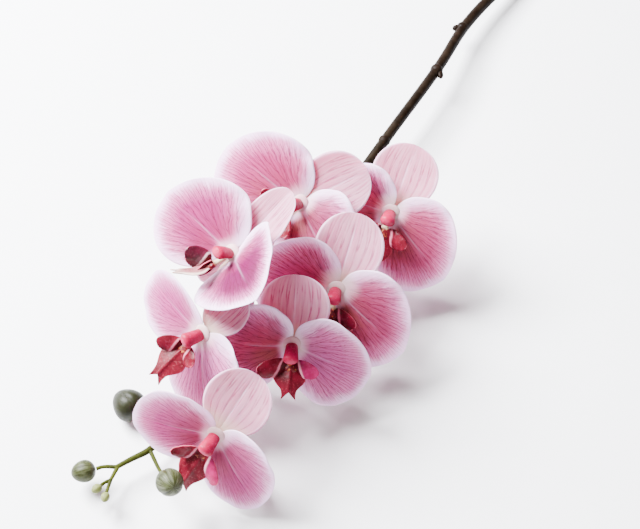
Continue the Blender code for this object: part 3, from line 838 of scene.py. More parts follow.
@dataclass(frozen=True)
class SepalFinish:
    """The front of a sepal: pale pink with long rose veins, a whitish edge and a creamy foot.

    A span says where a zone begins and ends, as shares of the sepal's length or half width.
    """

    pale: Colour = (0.51, 0.255, 0.345)
    blush: Colour = (0.42, 0.11, 0.23)
    vein: Colour = (0.20, 0.018, 0.085)
    edge: Colour = (0.74, 0.48, 0.64)
    foot: Colour = (0.50, 0.39, 0.31)
    veins: float = 4.4
    vein_strength: float = 0.72
    vein_relief: float = -0.7
    vein_side: Span = (0.80, 1.0)
    vein_tip: Span = (0.70, 0.99)
    edge_side: Span = (0.86, 0.99)
    middle_half: Span = (0.01, 0.05)
    middle_run: Span = (0.6, 0.9)
    foot_run: Span = (0.03, 0.32)

    def build(self, effects: Effects) -> bpy.types.Material:
        """Makes the material.

        Args:
            effects: The shared node groups.

        Returns:
            The material.
        """
        made, pen, shader = blade_material("sepal_front", 0.0, 0.1)
        place = pen.map("blade")
        seed, _, _ = pen.parts(pen.map("piece"))
        u, v, _ = pen.parts(place)
        veins = pen.group(effects.long, Place=place, Seed=seed, Count=self.veins)
        cloud = pen.noise(pen.vector(u, v, seed), 7.0, 2.0)
        side = pen.math("ABSOLUTE", veins.outputs["Side"])
        colour = pen.mix(pen.step(veins.outputs["Streak"], 0.36, 0.78, 0.0, 0.7), self.pale, self.blush)
        shown = pen.times(veins.outputs["Vein"], pen.step(side, *self.vein_side, 1.0, 0.0))
        shown = pen.times(shown, pen.step(u, *self.vein_tip, 1.0, 0.15))
        shown = pen.times(shown, pen.step(cloud, 0.34, 0.64, 0.38, 1.0))
        colour = pen.mix(pen.times(shown, self.vein_strength), colour, self.vein)
        colour = pen.mix(pen.step(side, *self.edge_side, 0.0, 0.6), colour, self.edge)
        middle = pen.step(side, *self.middle_half, 1.0, 0.0)
        middle = pen.times(middle, pen.step(u, *self.middle_run, 0.5, 0.0))
        colour = pen.mix(middle, colour, self.edge)
        colour = pen.mix(pen.step(u, *self.foot_run, 0.85, 0.0), colour, self.foot)
        pen.feed(shader.inputs["Base Color"], colour)
        emboss(pen, shader, effects, veins.outputs["Vein"], self.vein_relief)
        return made


@dataclass(frozen=True)
class FleshFinish:
    """A smooth fleshy surface with speckles: the column and the lobes of the lip.

    A folded one has a paler line on the crest of its fold, a painted highlight, and a dark band between the
    crease and its root, painted shade.
    """

    name: str
    base: Colour
    dark: Colour
    speck: Colour
    rim: Colour
    # Painted shade in the dip between a fold and its root
    hollow_shade: Colour = (0.07, 0.003, 0.008)
    rim_start: float = 0.8
    specks: float = 0.5
    roughness: float = 0.4
    gloss: float = 0.14
    scale: float = 420.0
    folded: bool = False
    fold_place: float = 0.09
    fold_slant: float = 0.45
    fold_half: float = 0.05

    def build(self, effects: Effects) -> bpy.types.Material:
        """Makes the material.

        Args:
            effects: The shared node groups.

        Returns:
            The material.
        """
        made, pen, shader = new_material(self.name, self.roughness, subsurface=0.12, gloss=self.gloss)
        u, v, _ = pen.parts(pen.map("blade"))
        place = pen.node("TexCoord").outputs["Object"]
        grain = pen.group(effects.grain, Scale=self.scale * 2.0)
        clouds = pen.noise(place, self.scale * 0.35, 3.0, 0.6)
        colour = pen.mix(pen.step(clouds, 0.35, 0.68), self.base, self.dark)
        spots = pen.step(pen.noise(place, self.scale * 2.2, 2.0, 0.6), 0.56, 0.66, 0.0, self.specks)
        colour = pen.mix(spots, colour, self.speck)
        if self.folded:
            along = pen.minus(pen.minus(u, pen.times(v, self.fold_slant)), self.fold_place)
            along = pen.plus(along, pen.times(pen.minus(clouds, 0.5), 0.08))
            # Painted shade between the fold and the root, and a painted highlight along the fold's crest
            colour = pen.mix(pen.step(along, -0.03, 0.03, 1.0, 0.0), colour, self.hollow_shade)
            line = pen.minus(1.0, pen.math("ABSOLUTE", pen.over(along, self.fold_half)))
            colour = pen.mix(pen.step(line, 0.0, 0.9, 0.0, 0.85), colour, self.rim)
        else:
            side = pen.times(pen.math("ABSOLUTE", pen.minus(v, 0.5)), 2.0)
            edge = pen.math("MAXIMUM", side, u)
            colour = pen.mix(pen.step(edge, self.rim_start, 1.0), colour, self.rim)
        pen.feed(shader.inputs["Base Color"], colour)
        height = pen.plus(pen.times(clouds, 1.5), pen.times(grain.outputs["Height"], 0.6))
        pen.feed(shader.inputs["Normal"], pen.bump(height, strength=0.6, distance=0.0005))
        return made


@dataclass(frozen=True)
class CallusFinish:
    """The lip's claw and callus: cream at its foot, dark crimson with orange specks between the lobes, which
    is partly the callus's own colour and partly painted shade between the lobes.
    """

    cream: Colour = (0.58, 0.46, 0.30)
    # Partly the callus's own crimson, partly painted shade between the side lobes
    dark: Colour = (0.12, 0.004, 0.010)
    orange: Colour = (0.55, 0.16, 0.05)
    specks: float = 0.8
    cream_end: Span = (0.42, 0.62)

    def build(self, effects: Effects) -> bpy.types.Material:
        """Makes the material.

        Args:
            effects: The shared node groups.

        Returns:
            The material.
        """
        made, pen, shader = new_material("callus", roughness=0.4, subsurface=0.15)
        place = pen.node("TexCoord").outputs["Object"]
        along, _, _ = pen.parts(pen.map("blade"))
        specks = pen.step(pen.noise(place, 700.0, 2.0, 0.5), 0.53, 0.66)
        # Partly the callus's own colour, partly painted shade between the lobes
        saddle_and_shade = pen.mix(pen.times(specks, self.specks), self.dark, self.orange)
        pen.feed(shader.inputs["Base Color"], pen.mix(pen.step(along, *self.cream_end), self.cream, saddle_and_shade))
        grain = pen.group(effects.grain, Scale=1200.0)
        pen.feed(shader.inputs["Normal"], pen.bump(grain.outputs["Height"], strength=0.3, distance=0.0002))
        return made


@dataclass(frozen=True)
class StemFinish:
    """The stalk: dark brown-green where it is bare, fresh green towards the tip, with fine long fibres.

    The first number of the piece map says how green a place is: 0 is bare, 1 is green and more is tender.
    """

    brown: Colour = (0.0044, 0.0018, 0.0010)
    shine: Colour = (0.012, 0.0062, 0.0034)
    green: Colour = (0.016, 0.020, 0.0015)
    light: Colour = (0.028, 0.034, 0.003)
    tender: Colour = (0.070, 0.082, 0.009)
    fibre: Colour = (0.006, 0.004, 0.002)
    fibres_across: float = 900.0
    fibres_along: float = 60.0

    def build(self) -> bpy.types.Material:
        """Makes the material.

        Returns:
            The material.
        """
        made, pen, shader = new_material("stem_skin", roughness=0.42, radius=0.001, gloss=0.06)
        tone, _, _ = pen.parts(pen.map("piece"))
        place = pen.node("TexCoord").outputs["Object"]
        x, y, z = pen.parts(place)
        across = pen.times(x, self.fibres_across)
        drawn = pen.vector(across, pen.times(y, self.fibres_along), pen.times(z, self.fibres_across))
        fibres = pen.noise(drawn, 1.0, 3.0, 0.6)
        blotch = pen.noise(place, 160.0, 3.0, 0.6)
        bare = pen.mix(pen.step(blotch, 0.35, 0.7), self.brown, self.shine)
        fresh = pen.mix(pen.step(blotch, 0.35, 0.7), self.green, self.light)
        mixed = pen.mix(pen.step(tone, 0.1, 0.9), bare, fresh)
        mixed = pen.mix(pen.step(tone, 0.95, 1.3, 0.0, 0.7), mixed, self.tender)
        colour = pen.mix(pen.step(fibres, 0.35, 0.65, 0.35, 0.0), mixed, self.fibre)
        pen.feed(shader.inputs["Base Color"], colour)
        pen.feed(shader.inputs["Normal"], pen.bump(fibres, strength=0.4, distance=0.0003))
        pen.feed(shader.inputs["Roughness"], pen.step(blotch, 0.3, 0.7, 0.42, 0.6))
        return made


@dataclass(frozen=True)
class KnobFinish:
    """A smooth whitish surface with a soft blush: the knob behind a bloom and the mound at its middle."""

    name: str
    white: Colour = (0.48, 0.46, 0.30)
    blush: Colour = (0.30, 0.31, 0.13)

    def build(self, effects: Effects) -> bpy.types.Material:
        """Makes the material.

        Args:
            effects: The shared node groups.

        Returns:
            The material.
        """
        made, pen, shader = new_material(self.name, roughness=0.5, subsurface=0.2)
        grain = pen.group(effects.grain, Scale=1300.0)
        colour = pen.mix(pen.step(grain.outputs["Cloud"], 0.35, 0.7), self.white, self.blush)
        pen.feed(shader.inputs["Base Color"], colour)
        pen.feed(shader.inputs["Normal"], pen.bump(grain.outputs["Height"], strength=0.3, distance=0.0002))
        return made


@dataclass(frozen=True)
class BudFinish:
    """A bud: olive green and mottled, with long paler streaks and dark lines of painted shade in its creases.

    The second number of the piece map says how pale a bud is: 0 is dark, 1 is frosted and 2 is tender green.
    """

    olive: Colour = (0.015, 0.0175, 0.002)
    pale: Colour = (0.042, 0.050, 0.014)
    dark: Colour = (0.0058, 0.0062, 0.0009)
    frost: Colour = (0.105, 0.112, 0.068)
    tender: Colour = (0.18, 0.20, 0.06)

    def build(self) -> bpy.types.Material:
        """Makes the material.

        Returns:
            The material.
        """
        made, pen, shader = new_material("bud_skin", roughness=0.45, subsurface=0.05, radius=0.001, gloss=0.2)
        u, v, _ = pen.parts(pen.map("blade"))
        seed, tone, _ = pen.parts(pen.map("piece"))
        place = pen.node("TexCoord").outputs["Object"]
        mottle = pen.noise(place, 330.0, 4.0, 0.65)
        streak = pen.noise(pen.vector(pen.times(v, 24.0), pen.times(u, 2.0), seed), 1.6, 4.0, 0.65)
        colour = pen.mix(pen.step(mottle, 0.34, 0.66), self.olive, self.pale)
        colour = pen.mix(pen.step(streak, 0.42, 0.7, 0.0, 0.6), colour, self.pale)
        colour = pen.mix(pen.step(streak, 0.2, 0.44, 0.65, 0.0), colour, self.dark)
        frosted = pen.times(pen.step(tone, 0.5, 1.0), pen.step(streak, 0.4, 0.7))
        colour = pen.mix(frosted, colour, self.frost)
        colour = pen.mix(pen.step(tone, 0.0, 0.5, 0.85, 0.0), colour, self.dark)
        # Painted shade: dark lines along the three creases
        crease = pen.math("ABSOLUTE", pen.math("SINE", pen.times(v, BUD_CREASES * math.pi)))
        line = pen.times(pen.step(crease, 0.0, CREASE_SHARE, 0.8, 0.0), pen.step(u, 0.1, 0.35))
        colour = pen.mix(line, colour, self.dark)
        colour = pen.mix(pen.step(tone, 1.2, 1.9, 0.0, 0.8), colour, self.tender)
        pen.feed(shader.inputs["Base Color"], colour)
        height = pen.plus(streak, pen.times(mottle, 0.5))
        pen.feed(shader.inputs["Normal"], pen.bump(height, strength=0.45, distance=0.0004))
        pen.feed(shader.inputs["Roughness"], pen.step(mottle, 0.3, 0.7, 0.38, 0.55))
        return made


@dataclass(frozen=True)
class FloorFinish:
    """The plain pale floor."""

    white: Colour = (0.93, 0.935, 0.96)
    shade: float = 0.985

    def build(self) -> bpy.types.Material:
        """Makes the material.

        Returns:
            The material.
        """
        made, pen, shader = new_material("floor_cloth", roughness=0.85)
        place = pen.node("TexCoord").outputs["Object"]
        soft = pen.noise(place, 14.0, 3.0, 0.5)
        shaded = tuple(value * self.shade for value in self.white)
        pen.feed(shader.inputs["Base Color"], pen.mix(pen.step(soft, 0.3, 0.7), self.white, shaded))
        weave = pen.noise(place, 900.0, 2.0)
        pen.feed(shader.inputs["Normal"], pen.bump(weave, strength=0.06, distance=0.0003))
        return made


class Wardrobe:
    """All the materials, made once."""

    def __init__(self) -> None:
        """Builds the node groups and the materials."""
        effects = Effects(vein_fan_group(), long_vein_group(), fine_grain_group())
        self.petal = PetalFinish().build(effects)
        self.petal_back = BladeBackFinish(
            "petal_back", pale=(0.70, 0.38, 0.57), vein=(0.44, 0.09, 0.25)).build(effects)
        self.sepal = SepalFinish().build(effects)
        self.sepal_back = BladeBackFinish(
            "sepal_back", pale=(0.66, 0.40, 0.47), vein=(0.38, 0.13, 0.21)).build(effects)
        self.column = FleshFinish(
            "column_skin", base=(0.34, 0.0030, 0.046), dark=(0.24, 0.0020, 0.030),
            speck=(0.46, 0.05, 0.13), rim=(0.44, 0.035, 0.10), rim_start=0.9, specks=0.3).build(effects)
        self.midlobe = FleshFinish(
            "midlobe_skin", base=(0.135, 0.004, 0.015), dark=(0.065, 0.002, 0.007),
            speck=(0.42, 0.08, 0.10), rim=(0.30, 0.022, 0.05), rim_start=0.9, specks=0.22).build(effects)
        self.pale_midlobe = FleshFinish(
            "pale_midlobe_skin", base=(0.28, 0.10, 0.11), dark=(0.14, 0.03, 0.035),
            speck=(0.10, 0.012, 0.02), rim=(0.60, 0.46, 0.40), rim_start=0.55, specks=0.4).build(effects)
        self.side_lobe = FleshFinish(
            "side_lobe_skin", base=(0.085, 0.003, 0.010), dark=(0.045, 0.0015, 0.005),
            speck=(0.34, 0.04, 0.08), rim=(0.50, 0.07, 0.13), rim_start=0.95, specks=0.3).build(effects)
        # On the folded lobe faces the rim is a painted highlight on the fold, and the dark band painted shade
        crimson = FleshFinish(
            "lobe_face_skin", base=(0.145, 0.004, 0.017), dark=(0.080, 0.002, 0.008),
            speck=(0.42, 0.10, 0.18), rim=(0.60, 0.17, 0.25), specks=0.12, roughness=0.3, folded=True)
        bright = FleshFinish(
            "bright_face_skin", base=(0.30, 0.007, 0.085), dark=(0.18, 0.004, 0.040),
            speck=(0.50, 0.12, 0.22), rim=(0.70, 0.30, 0.40), specks=0.1, roughness=0.3, folded=True)
        maroon = FleshFinish(
            "maroon_face_skin", base=(0.085, 0.005, 0.020), dark=(0.045, 0.002, 0.010),
            speck=(0.20, 0.05, 0.08), rim=(0.62, 0.40, 0.42), specks=0.1, roughness=0.22, gloss=0.6,
            folded=True)
        self.lobe_faces = {Tint.CRIMSON: crimson.build(effects), Tint.BRIGHT: bright.build(effects),
                           Tint.MAROON: maroon.build(effects)}
        self.callus = CallusFinish().build(effects)
        self.stem = StemFinish().build()
        self.knob = KnobFinish("knob_skin").build(effects)
        self.throat = KnobFinish(
            "throat_skin", white=(0.60, 0.42, 0.42), blush=(0.54, 0.28, 0.34)).build(effects)
        self.bud = BudFinish().build()
        self.floor = FloorFinish().build()


# Meshes

def turned(degrees: float, axis: str) -> Matrix:
    """A turn about one axis."""
    return Matrix.Rotation(math.radians(degrees), 4, axis)


def direction(heading: float, elevation: float) -> Vector:
    """A unit vector.

    Args:
        heading: The way it points on the floor, in degrees from -Y towards +X.
        elevation: How far it points up, in degrees.

    Returns:
        The vector.
    """
    around, up = math.radians(heading), math.radians(elevation)
    return Vector((math.sin(around) * math.cos(up), -math.cos(around) * math.cos(up), math.sin(up)))


def placed(name: str, data: bpy.types.ID) -> bpy.types.Object:
    """Makes an object of a mesh, curve, camera or light and adds it to the scene."""
    made = bpy.data.objects.new(name, data)
    bpy.context.scene.collection.objects.link(made)
    return made


def add_map(mesh: bpy.types.Mesh, name: str, values: FloatArray) -> None:
    """Adds a map to a mesh.

    Args:
        mesh: The mesh.
        name: The map's name.
        values: Two numbers for each vertex.
    """
    layer = mesh.uv_layers.new(name=name, do_init=False)
    corners = np.zeros(len(mesh.loops), dtype=np.int32)
    mesh.loops.foreach_get("vertex_index", corners)
    layer.uv.foreach_set("vector", values[corners].astype(np.float32).ravel())


def new_object(name: str, points: FloatArray, faces: list, maps: dict[str, FloatArray],
               materials: list[bpy.types.Material]) -> bpy.types.Object:
    """Makes a smooth mesh object.

    Args:
        name: Its name.
        points: Its points in millimetres.
        faces: Its faces.
        maps: Two numbers for each point, by map name.
        materials: Its materials.

    Returns:
        The object.
    """
    mesh = bpy.data.meshes.new(name)
    mesh.from_pydata((np.asarray(points) * MM).tolist(), [], faces)
    mesh.update()
    for label, values in maps.items():
        add_map(mesh, label, values)
    mesh.shade_smooth()
    for material in materials:
        mesh.materials.append(material)
    return placed(name, mesh)


def thicken(item: bpy.types.Object, thickness: float) -> bpy.types.Modifier:
    """Gives a sheet a thickness to both sides, with its second material on the back.

    Args:
        item: The sheet.
        thickness: Its thickness in millimetres.

    Returns:
        The modifier.
    """
    solid = item.modifiers.new("thickness", "SOLIDIFY")
    solid.thickness = thickness * MM
    solid.offset = 0.0
    solid.material_offset = 1
    return solid


def grid_shares(grid: tuple[int, int]) -> tuple[FloatArray, FloatArray]:
    """Shares of a grid of faces: a column from 0 to 1 down its rows, and a row from -1 to 1 across."""
    rows, columns = grid
    return np.linspace(0, 1, rows + 1)[:, None], np.linspace(-1, 1, columns + 1)[None, :]


def grid_faces(rows: int, columns: int, flipped: bool = False) -> list[tuple[int, ...]]:
    """Quads of a grid of points.

    Args:
        rows: The number of rows of faces.
        columns: The number of columns of faces.
        flipped: Whether the faces look the other way.

    Returns:
        The faces.
    """
    faces = []
    for row in range(rows):
        for column in range(columns):
            corner = row * (columns + 1) + column
            face = (corner, corner + columns + 1, corner + columns + 2, corner + 1)
            faces.append(face[::-1] if flipped else face)
    return faces


def bend_sheet(x: FloatArray, y: FloatArray, shape: Blade) -> FloatArray:
    """Bends the flat sheet of a blade.

    Args:
        x: Places along it from the root.
        y: Places across it.
        shape: The blade.

    Returns:
        Points in the blade's own frame.
    """
    fold = math.radians(shape.fold)
    curl = math.radians(shape.cup)
    side = np.abs(y)
    across = np.sin(curl * side) / curl if curl else side
    height = (1 - np.cos(curl * side)) / curl if curl else np.zeros_like(side)
    depth = across * math.sin(fold) + height * math.cos(fold)
    across = (across * math.cos(fold) - height * math.sin(fold)) * np.where(y >= 0, 1.0, -1.0)
    start = math.radians(shape.rise)
    rate = math.radians(shape.bend) / shape.length
    slope = start + rate * x
    if rate:
        along = (np.sin(slope) - math.sin(start)) / rate
        lift = (math.cos(start) - np.cos(slope)) / rate
    else:
        along = x * math.cos(start)
        lift = x * math.sin(start)
    return np.stack([along - np.sin(slope) * depth, across, lift + np.cos(slope) * depth], axis=-1)


def grid_normals(points: FloatArray) -> FloatArray:
    """Unit normals of a grid of points, which is rows by columns by three."""
    normals = np.cross(np.gradient(points, axis=0), np.gradient(points, axis=1))
    return normals / (np.linalg.norm(normals, axis=-1, keepdims=True) + 1e-9)


def smooth(low: float, high: float, value: FloatArray) -> FloatArray:
    """A smooth step from 0, where the value is low, to 1, where it is high."""
    share = np.clip((value - low) / (high - low), 0, 1)
    return share * share * (3 - 2 * share)


@dataclass
class BladeBuilder:
    """Builds the mesh of one petal or sepal."""

    shape: Blade
    kind: Kind
    seed: int

    def grid(self) -> tuple[int, int]:
        """Rows and columns of the blade."""
        return PETAL_GRID if self.kind.is_petal else SEPAL_GRID

    def outline(self) -> tuple[FloatArray, FloatArray, FloatArray]:
        """The flat sheet.

        Returns:
            Places along the blade, places across it, and the side from -1 at one edge to 1 at the other.
        """
        share, even = grid_shares(self.grid())
        side = np.sign(even) * np.abs(even) ** EDGE_CROWDING
        angle = np.radians(FIRST_ANGLE + (LAST_ANGLE - FIRST_ANGLE) * share)
        x = self.shape.length * (1 - np.cos(angle)) / 2
        fullness = np.sin(angle) ** self.shape.power
        upper = np.maximum(self.shape.upper * fullness, self.inner() * (1 - share))
        lower = np.maximum(self.shape.lower * fullness, self.shape.claw * (1 - share))
        y = np.where(side > 0, upper, lower) * side
        return x + 0 * y, y, side + 0 * y

    def inner(self) -> float:
        """Half width of the upper side of the claw, where the two petals meet over the column."""
        return INNER_CLAW if self.kind.is_petal else self.shape.claw

    def relief(self, x: FloatArray, y: FloatArray) -> FloatArray:
        """Waves of the edge and the crease along the middle.

        Args:
            x: Places along the blade.
            y: Places across it.

        Returns:
            How far each point leaves the plain bent sheet, in millimetres.
        """
        draw = np.random.default_rng(self.seed)
        phases = draw.uniform(0, 2 * math.pi, len(EDGE_WAVES))
        half = max(self.shape.upper, self.shape.lower)
        along = x / self.shape.length
        rim_x = (along - 0.5) / 0.5
        rim_y = y / half
        rim = np.sqrt(rim_x ** 2 + rim_y ** 2)
        angle = np.arctan2(rim_y, rim_x)
        wave = sum(high * np.sin(count * angle + phase) * rim ** power
                   for (count, high, power), phase in zip(EDGE_WAVES, phases))
        free = smooth(*WAVE_START, along)
        crease = np.exp(-(y / CREASE_WIDTH) ** 2) * smooth(*CREASE_START, along)
        crease *= 1 - smooth(*CREASE_END, along)
        deep = PETAL_CREASE if self.kind.is_petal else SEPAL_CREASE
        return self.shape.wave * wave * free - deep * crease

    def build(self, name: str, front: bpy.types.Material, back: bpy.types.Material) -> bpy.types.Object:
        """Makes the blade's object in its own frame.

        Args:
            name: Its name.
            front: The material of the side that faces forward.
            back: The material of the other side.

        Returns:
            The object.
        """
        rows, columns = self.grid()
        x, y, side = self.outline()
        along = x / self.shape.length
        near_root = MEET_SHARE * (1 - smooth(0.0, MEET_END, along)) if self.kind.is_petal else 0.0
        meet = np.clip(y, 0, MEET_WIDTH) * near_root
        skew = self.shape.shoulder * np.maximum(y, 0) + self.shape.heel * np.maximum(-y, 0)
        points = bend_sheet(x - skew - meet, y, self.shape)
        points += grid_normals(points) * self.relief(x, y)[..., None]
        points[..., 0] += BLADE_ROOT
        if self.kind.mirrored:
            points[..., 1] *= -1
        half = np.where(y > 0, self.shape.upper, self.shape.lower)
        across = y / half * (PETAL_MAP_HALF if self.kind.is_petal else SEPAL_MAP_HALF) + 0.5
        flat = np.stack([along, across], axis=-1).reshape(-1, 2)
        # The piece map carries the seed and the depth, which is partly painted light and shade
        piece = np.tile((self.seed * SEED_SCALE, self.shape.depth), (flat.shape[0], 1))
        claw = np.tile((self.shape.white, self.shape.rich), (flat.shape[0], 1))
        made = new_object(name, points.reshape(-1, 3), grid_faces(rows, columns, self.kind.mirrored),
                          {"blade": flat, "piece": piece, "claw": claw}, [front, back])
        edge = made.vertex_groups.new(name="thickness")
        thick = (1 - EDGE_THINNING * np.abs(side) ** 6) * (1 - TIP_THINNING * smooth(TIP_START, 1.0, along))
        for index, weight in enumerate(thick.ravel()):
            edge.add([index], float(weight), "REPLACE")
        solid = thicken(made, BLADE_THICKNESS)
        solid.vertex_group = edge.name
        solid.thickness_vertex_group = THINNEST
        return made


def bloom_matrix(plan: BloomPlan) -> Matrix:
    """The frame of a bloom: X to the viewer's right, Y to its dorsal sepal, Z the way it faces.

    Args:
        plan: The bloom.

    Returns:
        Its matrix in metres.
    """
    facing = direction(plan.heading, plan.elevation)
    heading = math.radians(plan.heading)
    right = Vector((math.cos(heading), math.sin(heading), 0))
    matrix = Matrix((right, facing.cross(right), facing)).transposed().to_4x4() @ turned(plan.roll, "Z")
    matrix.translation = Vector(plan.centre) * MM
    return matrix


def ring_faces(rows: int, sides: int) -> list[tuple[int, ...]]:
    """Faces of a closed skin over rings of points, with a point at each end.

    Args:
        rows: The number of rings.
        sides: The number of points in a ring.

    Returns:
        The faces. The points are the first end, the rings and the last end.
    """
    faces = []
    last = 1 + rows * sides
    for step in range(sides):
        after = (step + 1) % sides
        faces.append((0, 1 + after, 1 + step))
        for row in range(rows - 1):
            ring = 1 + row * sides
            faces.append((ring + step, ring + after, ring + sides + after, ring + sides + step))
        ring = last - sides
        faces.append((ring + step, ring + after, last))
    return faces


def skinned(middle: FloatArray, wide: FloatArray, tall: FloatArray, across: Vector,
            sides: int) -> tuple[FloatArray, list, FloatArray]:
    """A closed skin round a line of centres.

    Args:
        middle: The centres, the first and last of which become the end points.
        wide: Half widths along across at the centres between them.
        tall: Half heights square to that.
        across: A direction square to the line.
        sides: The number of points in a ring.

    Returns:
        Points, faces and the map: the share along the line and the share of the way round.
    """
    ahead = np.gradient(middle, axis=0)
    ahead /= np.linalg.norm(ahead, axis=1, keepdims=True) + 1e-9
    first = np.array(across, float)
    points = [middle[0]]
    flat = [(0.0, 0.5)]
    count = len(middle)
    for row in range(1, count - 1):
        over = np.cross(ahead[row], first)
        for step in range(sides):
            angle = 2 * math.pi * step / sides
            sideways = first * wide[row - 1] * math.cos(angle)
            points.append(middle[row] + sideways + over * tall[row - 1] * math.sin(angle))
            flat.append((row / (count - 1), step / sides))
    points.append(middle[-1])
    flat.append((1.0, 0.5))
    return np.array(points), ring_faces(count - 2, sides), np.array(flat)


@dataclass
class Column:
    """The coral column of a bloom: a stout cylinder that leans over the lip and ends in a round cap."""

    plan: BloomPlan
    length: float = 12.5
    wide: float = 3.8
    tall: float = 3.0
    start: float = 2.6
    cap_share: float = 0.22
    cap_swell: float = 1.1
    collar_size: Point = (5.2, 4.6, 1.5)
    collar_place: Point = (0.0, 0.9, 1.5)
    collar_grid: tuple[int, int] = (16, 36)
    sides: int = 28
    rows: int = 26

    def build(self, name: str, wardrobe: Wardrobe) -> bpy.types.Object:
        """Makes the column in the bloom's frame.

        Args:
            name: Its name.
            wardrobe: The materials.

        Returns:
            The object.
        """
        share = np.linspace(0, 1, self.rows + 2)
        into_cap = (share - (1 - self.cap_share)) / self.cap_share
        cap = self.cap_swell * np.sqrt(np.clip(1 - into_cap ** 2, 0.0, 1.0))
        swell = np.where(into_cap > 0, cap, np.interp(share, COLUMN_SHARES, COLUMN_SWELL))[1:-1]
        rate = math.radians(90 - self.plan.column_pitch) / self.length
        angle = rate * self.length * share
        down, out = (1 - np.cos(angle)) / rate, np.sin(angle) / rate
        middle = np.stack([0 * share, -down, self.start + out], axis=-1)
        wide, tall = self.wide * swell, self.tall * swell
        points, faces, flat = skinned(middle, wide, tall, Vector((1, 0, 0)), self.sides)
        flat[:, 1] = 0.5
        rod = new_object("rod", points, faces, {"blade": flat}, [wardrobe.column])
        return joined(name, [rod, self.collar(wardrobe.throat)])

    def collar(self, material: bpy.types.Material) -> bpy.types.Object:
        """The smooth pale mound at the middle of the bloom, out of which the column grows.

        Args:
            material: Its material.

        Returns:
            The object.
        """
        item = egg((0, 0, 0), Vector((0, 0, 1)), 1.0, 2.0, material, *self.collar_grid)
        place = Matrix.Translation(Vector(self.collar_place) * MM)
        item.data.transform(place @ Matrix.Diagonal((*self.collar_size, 1.0)))
        return item


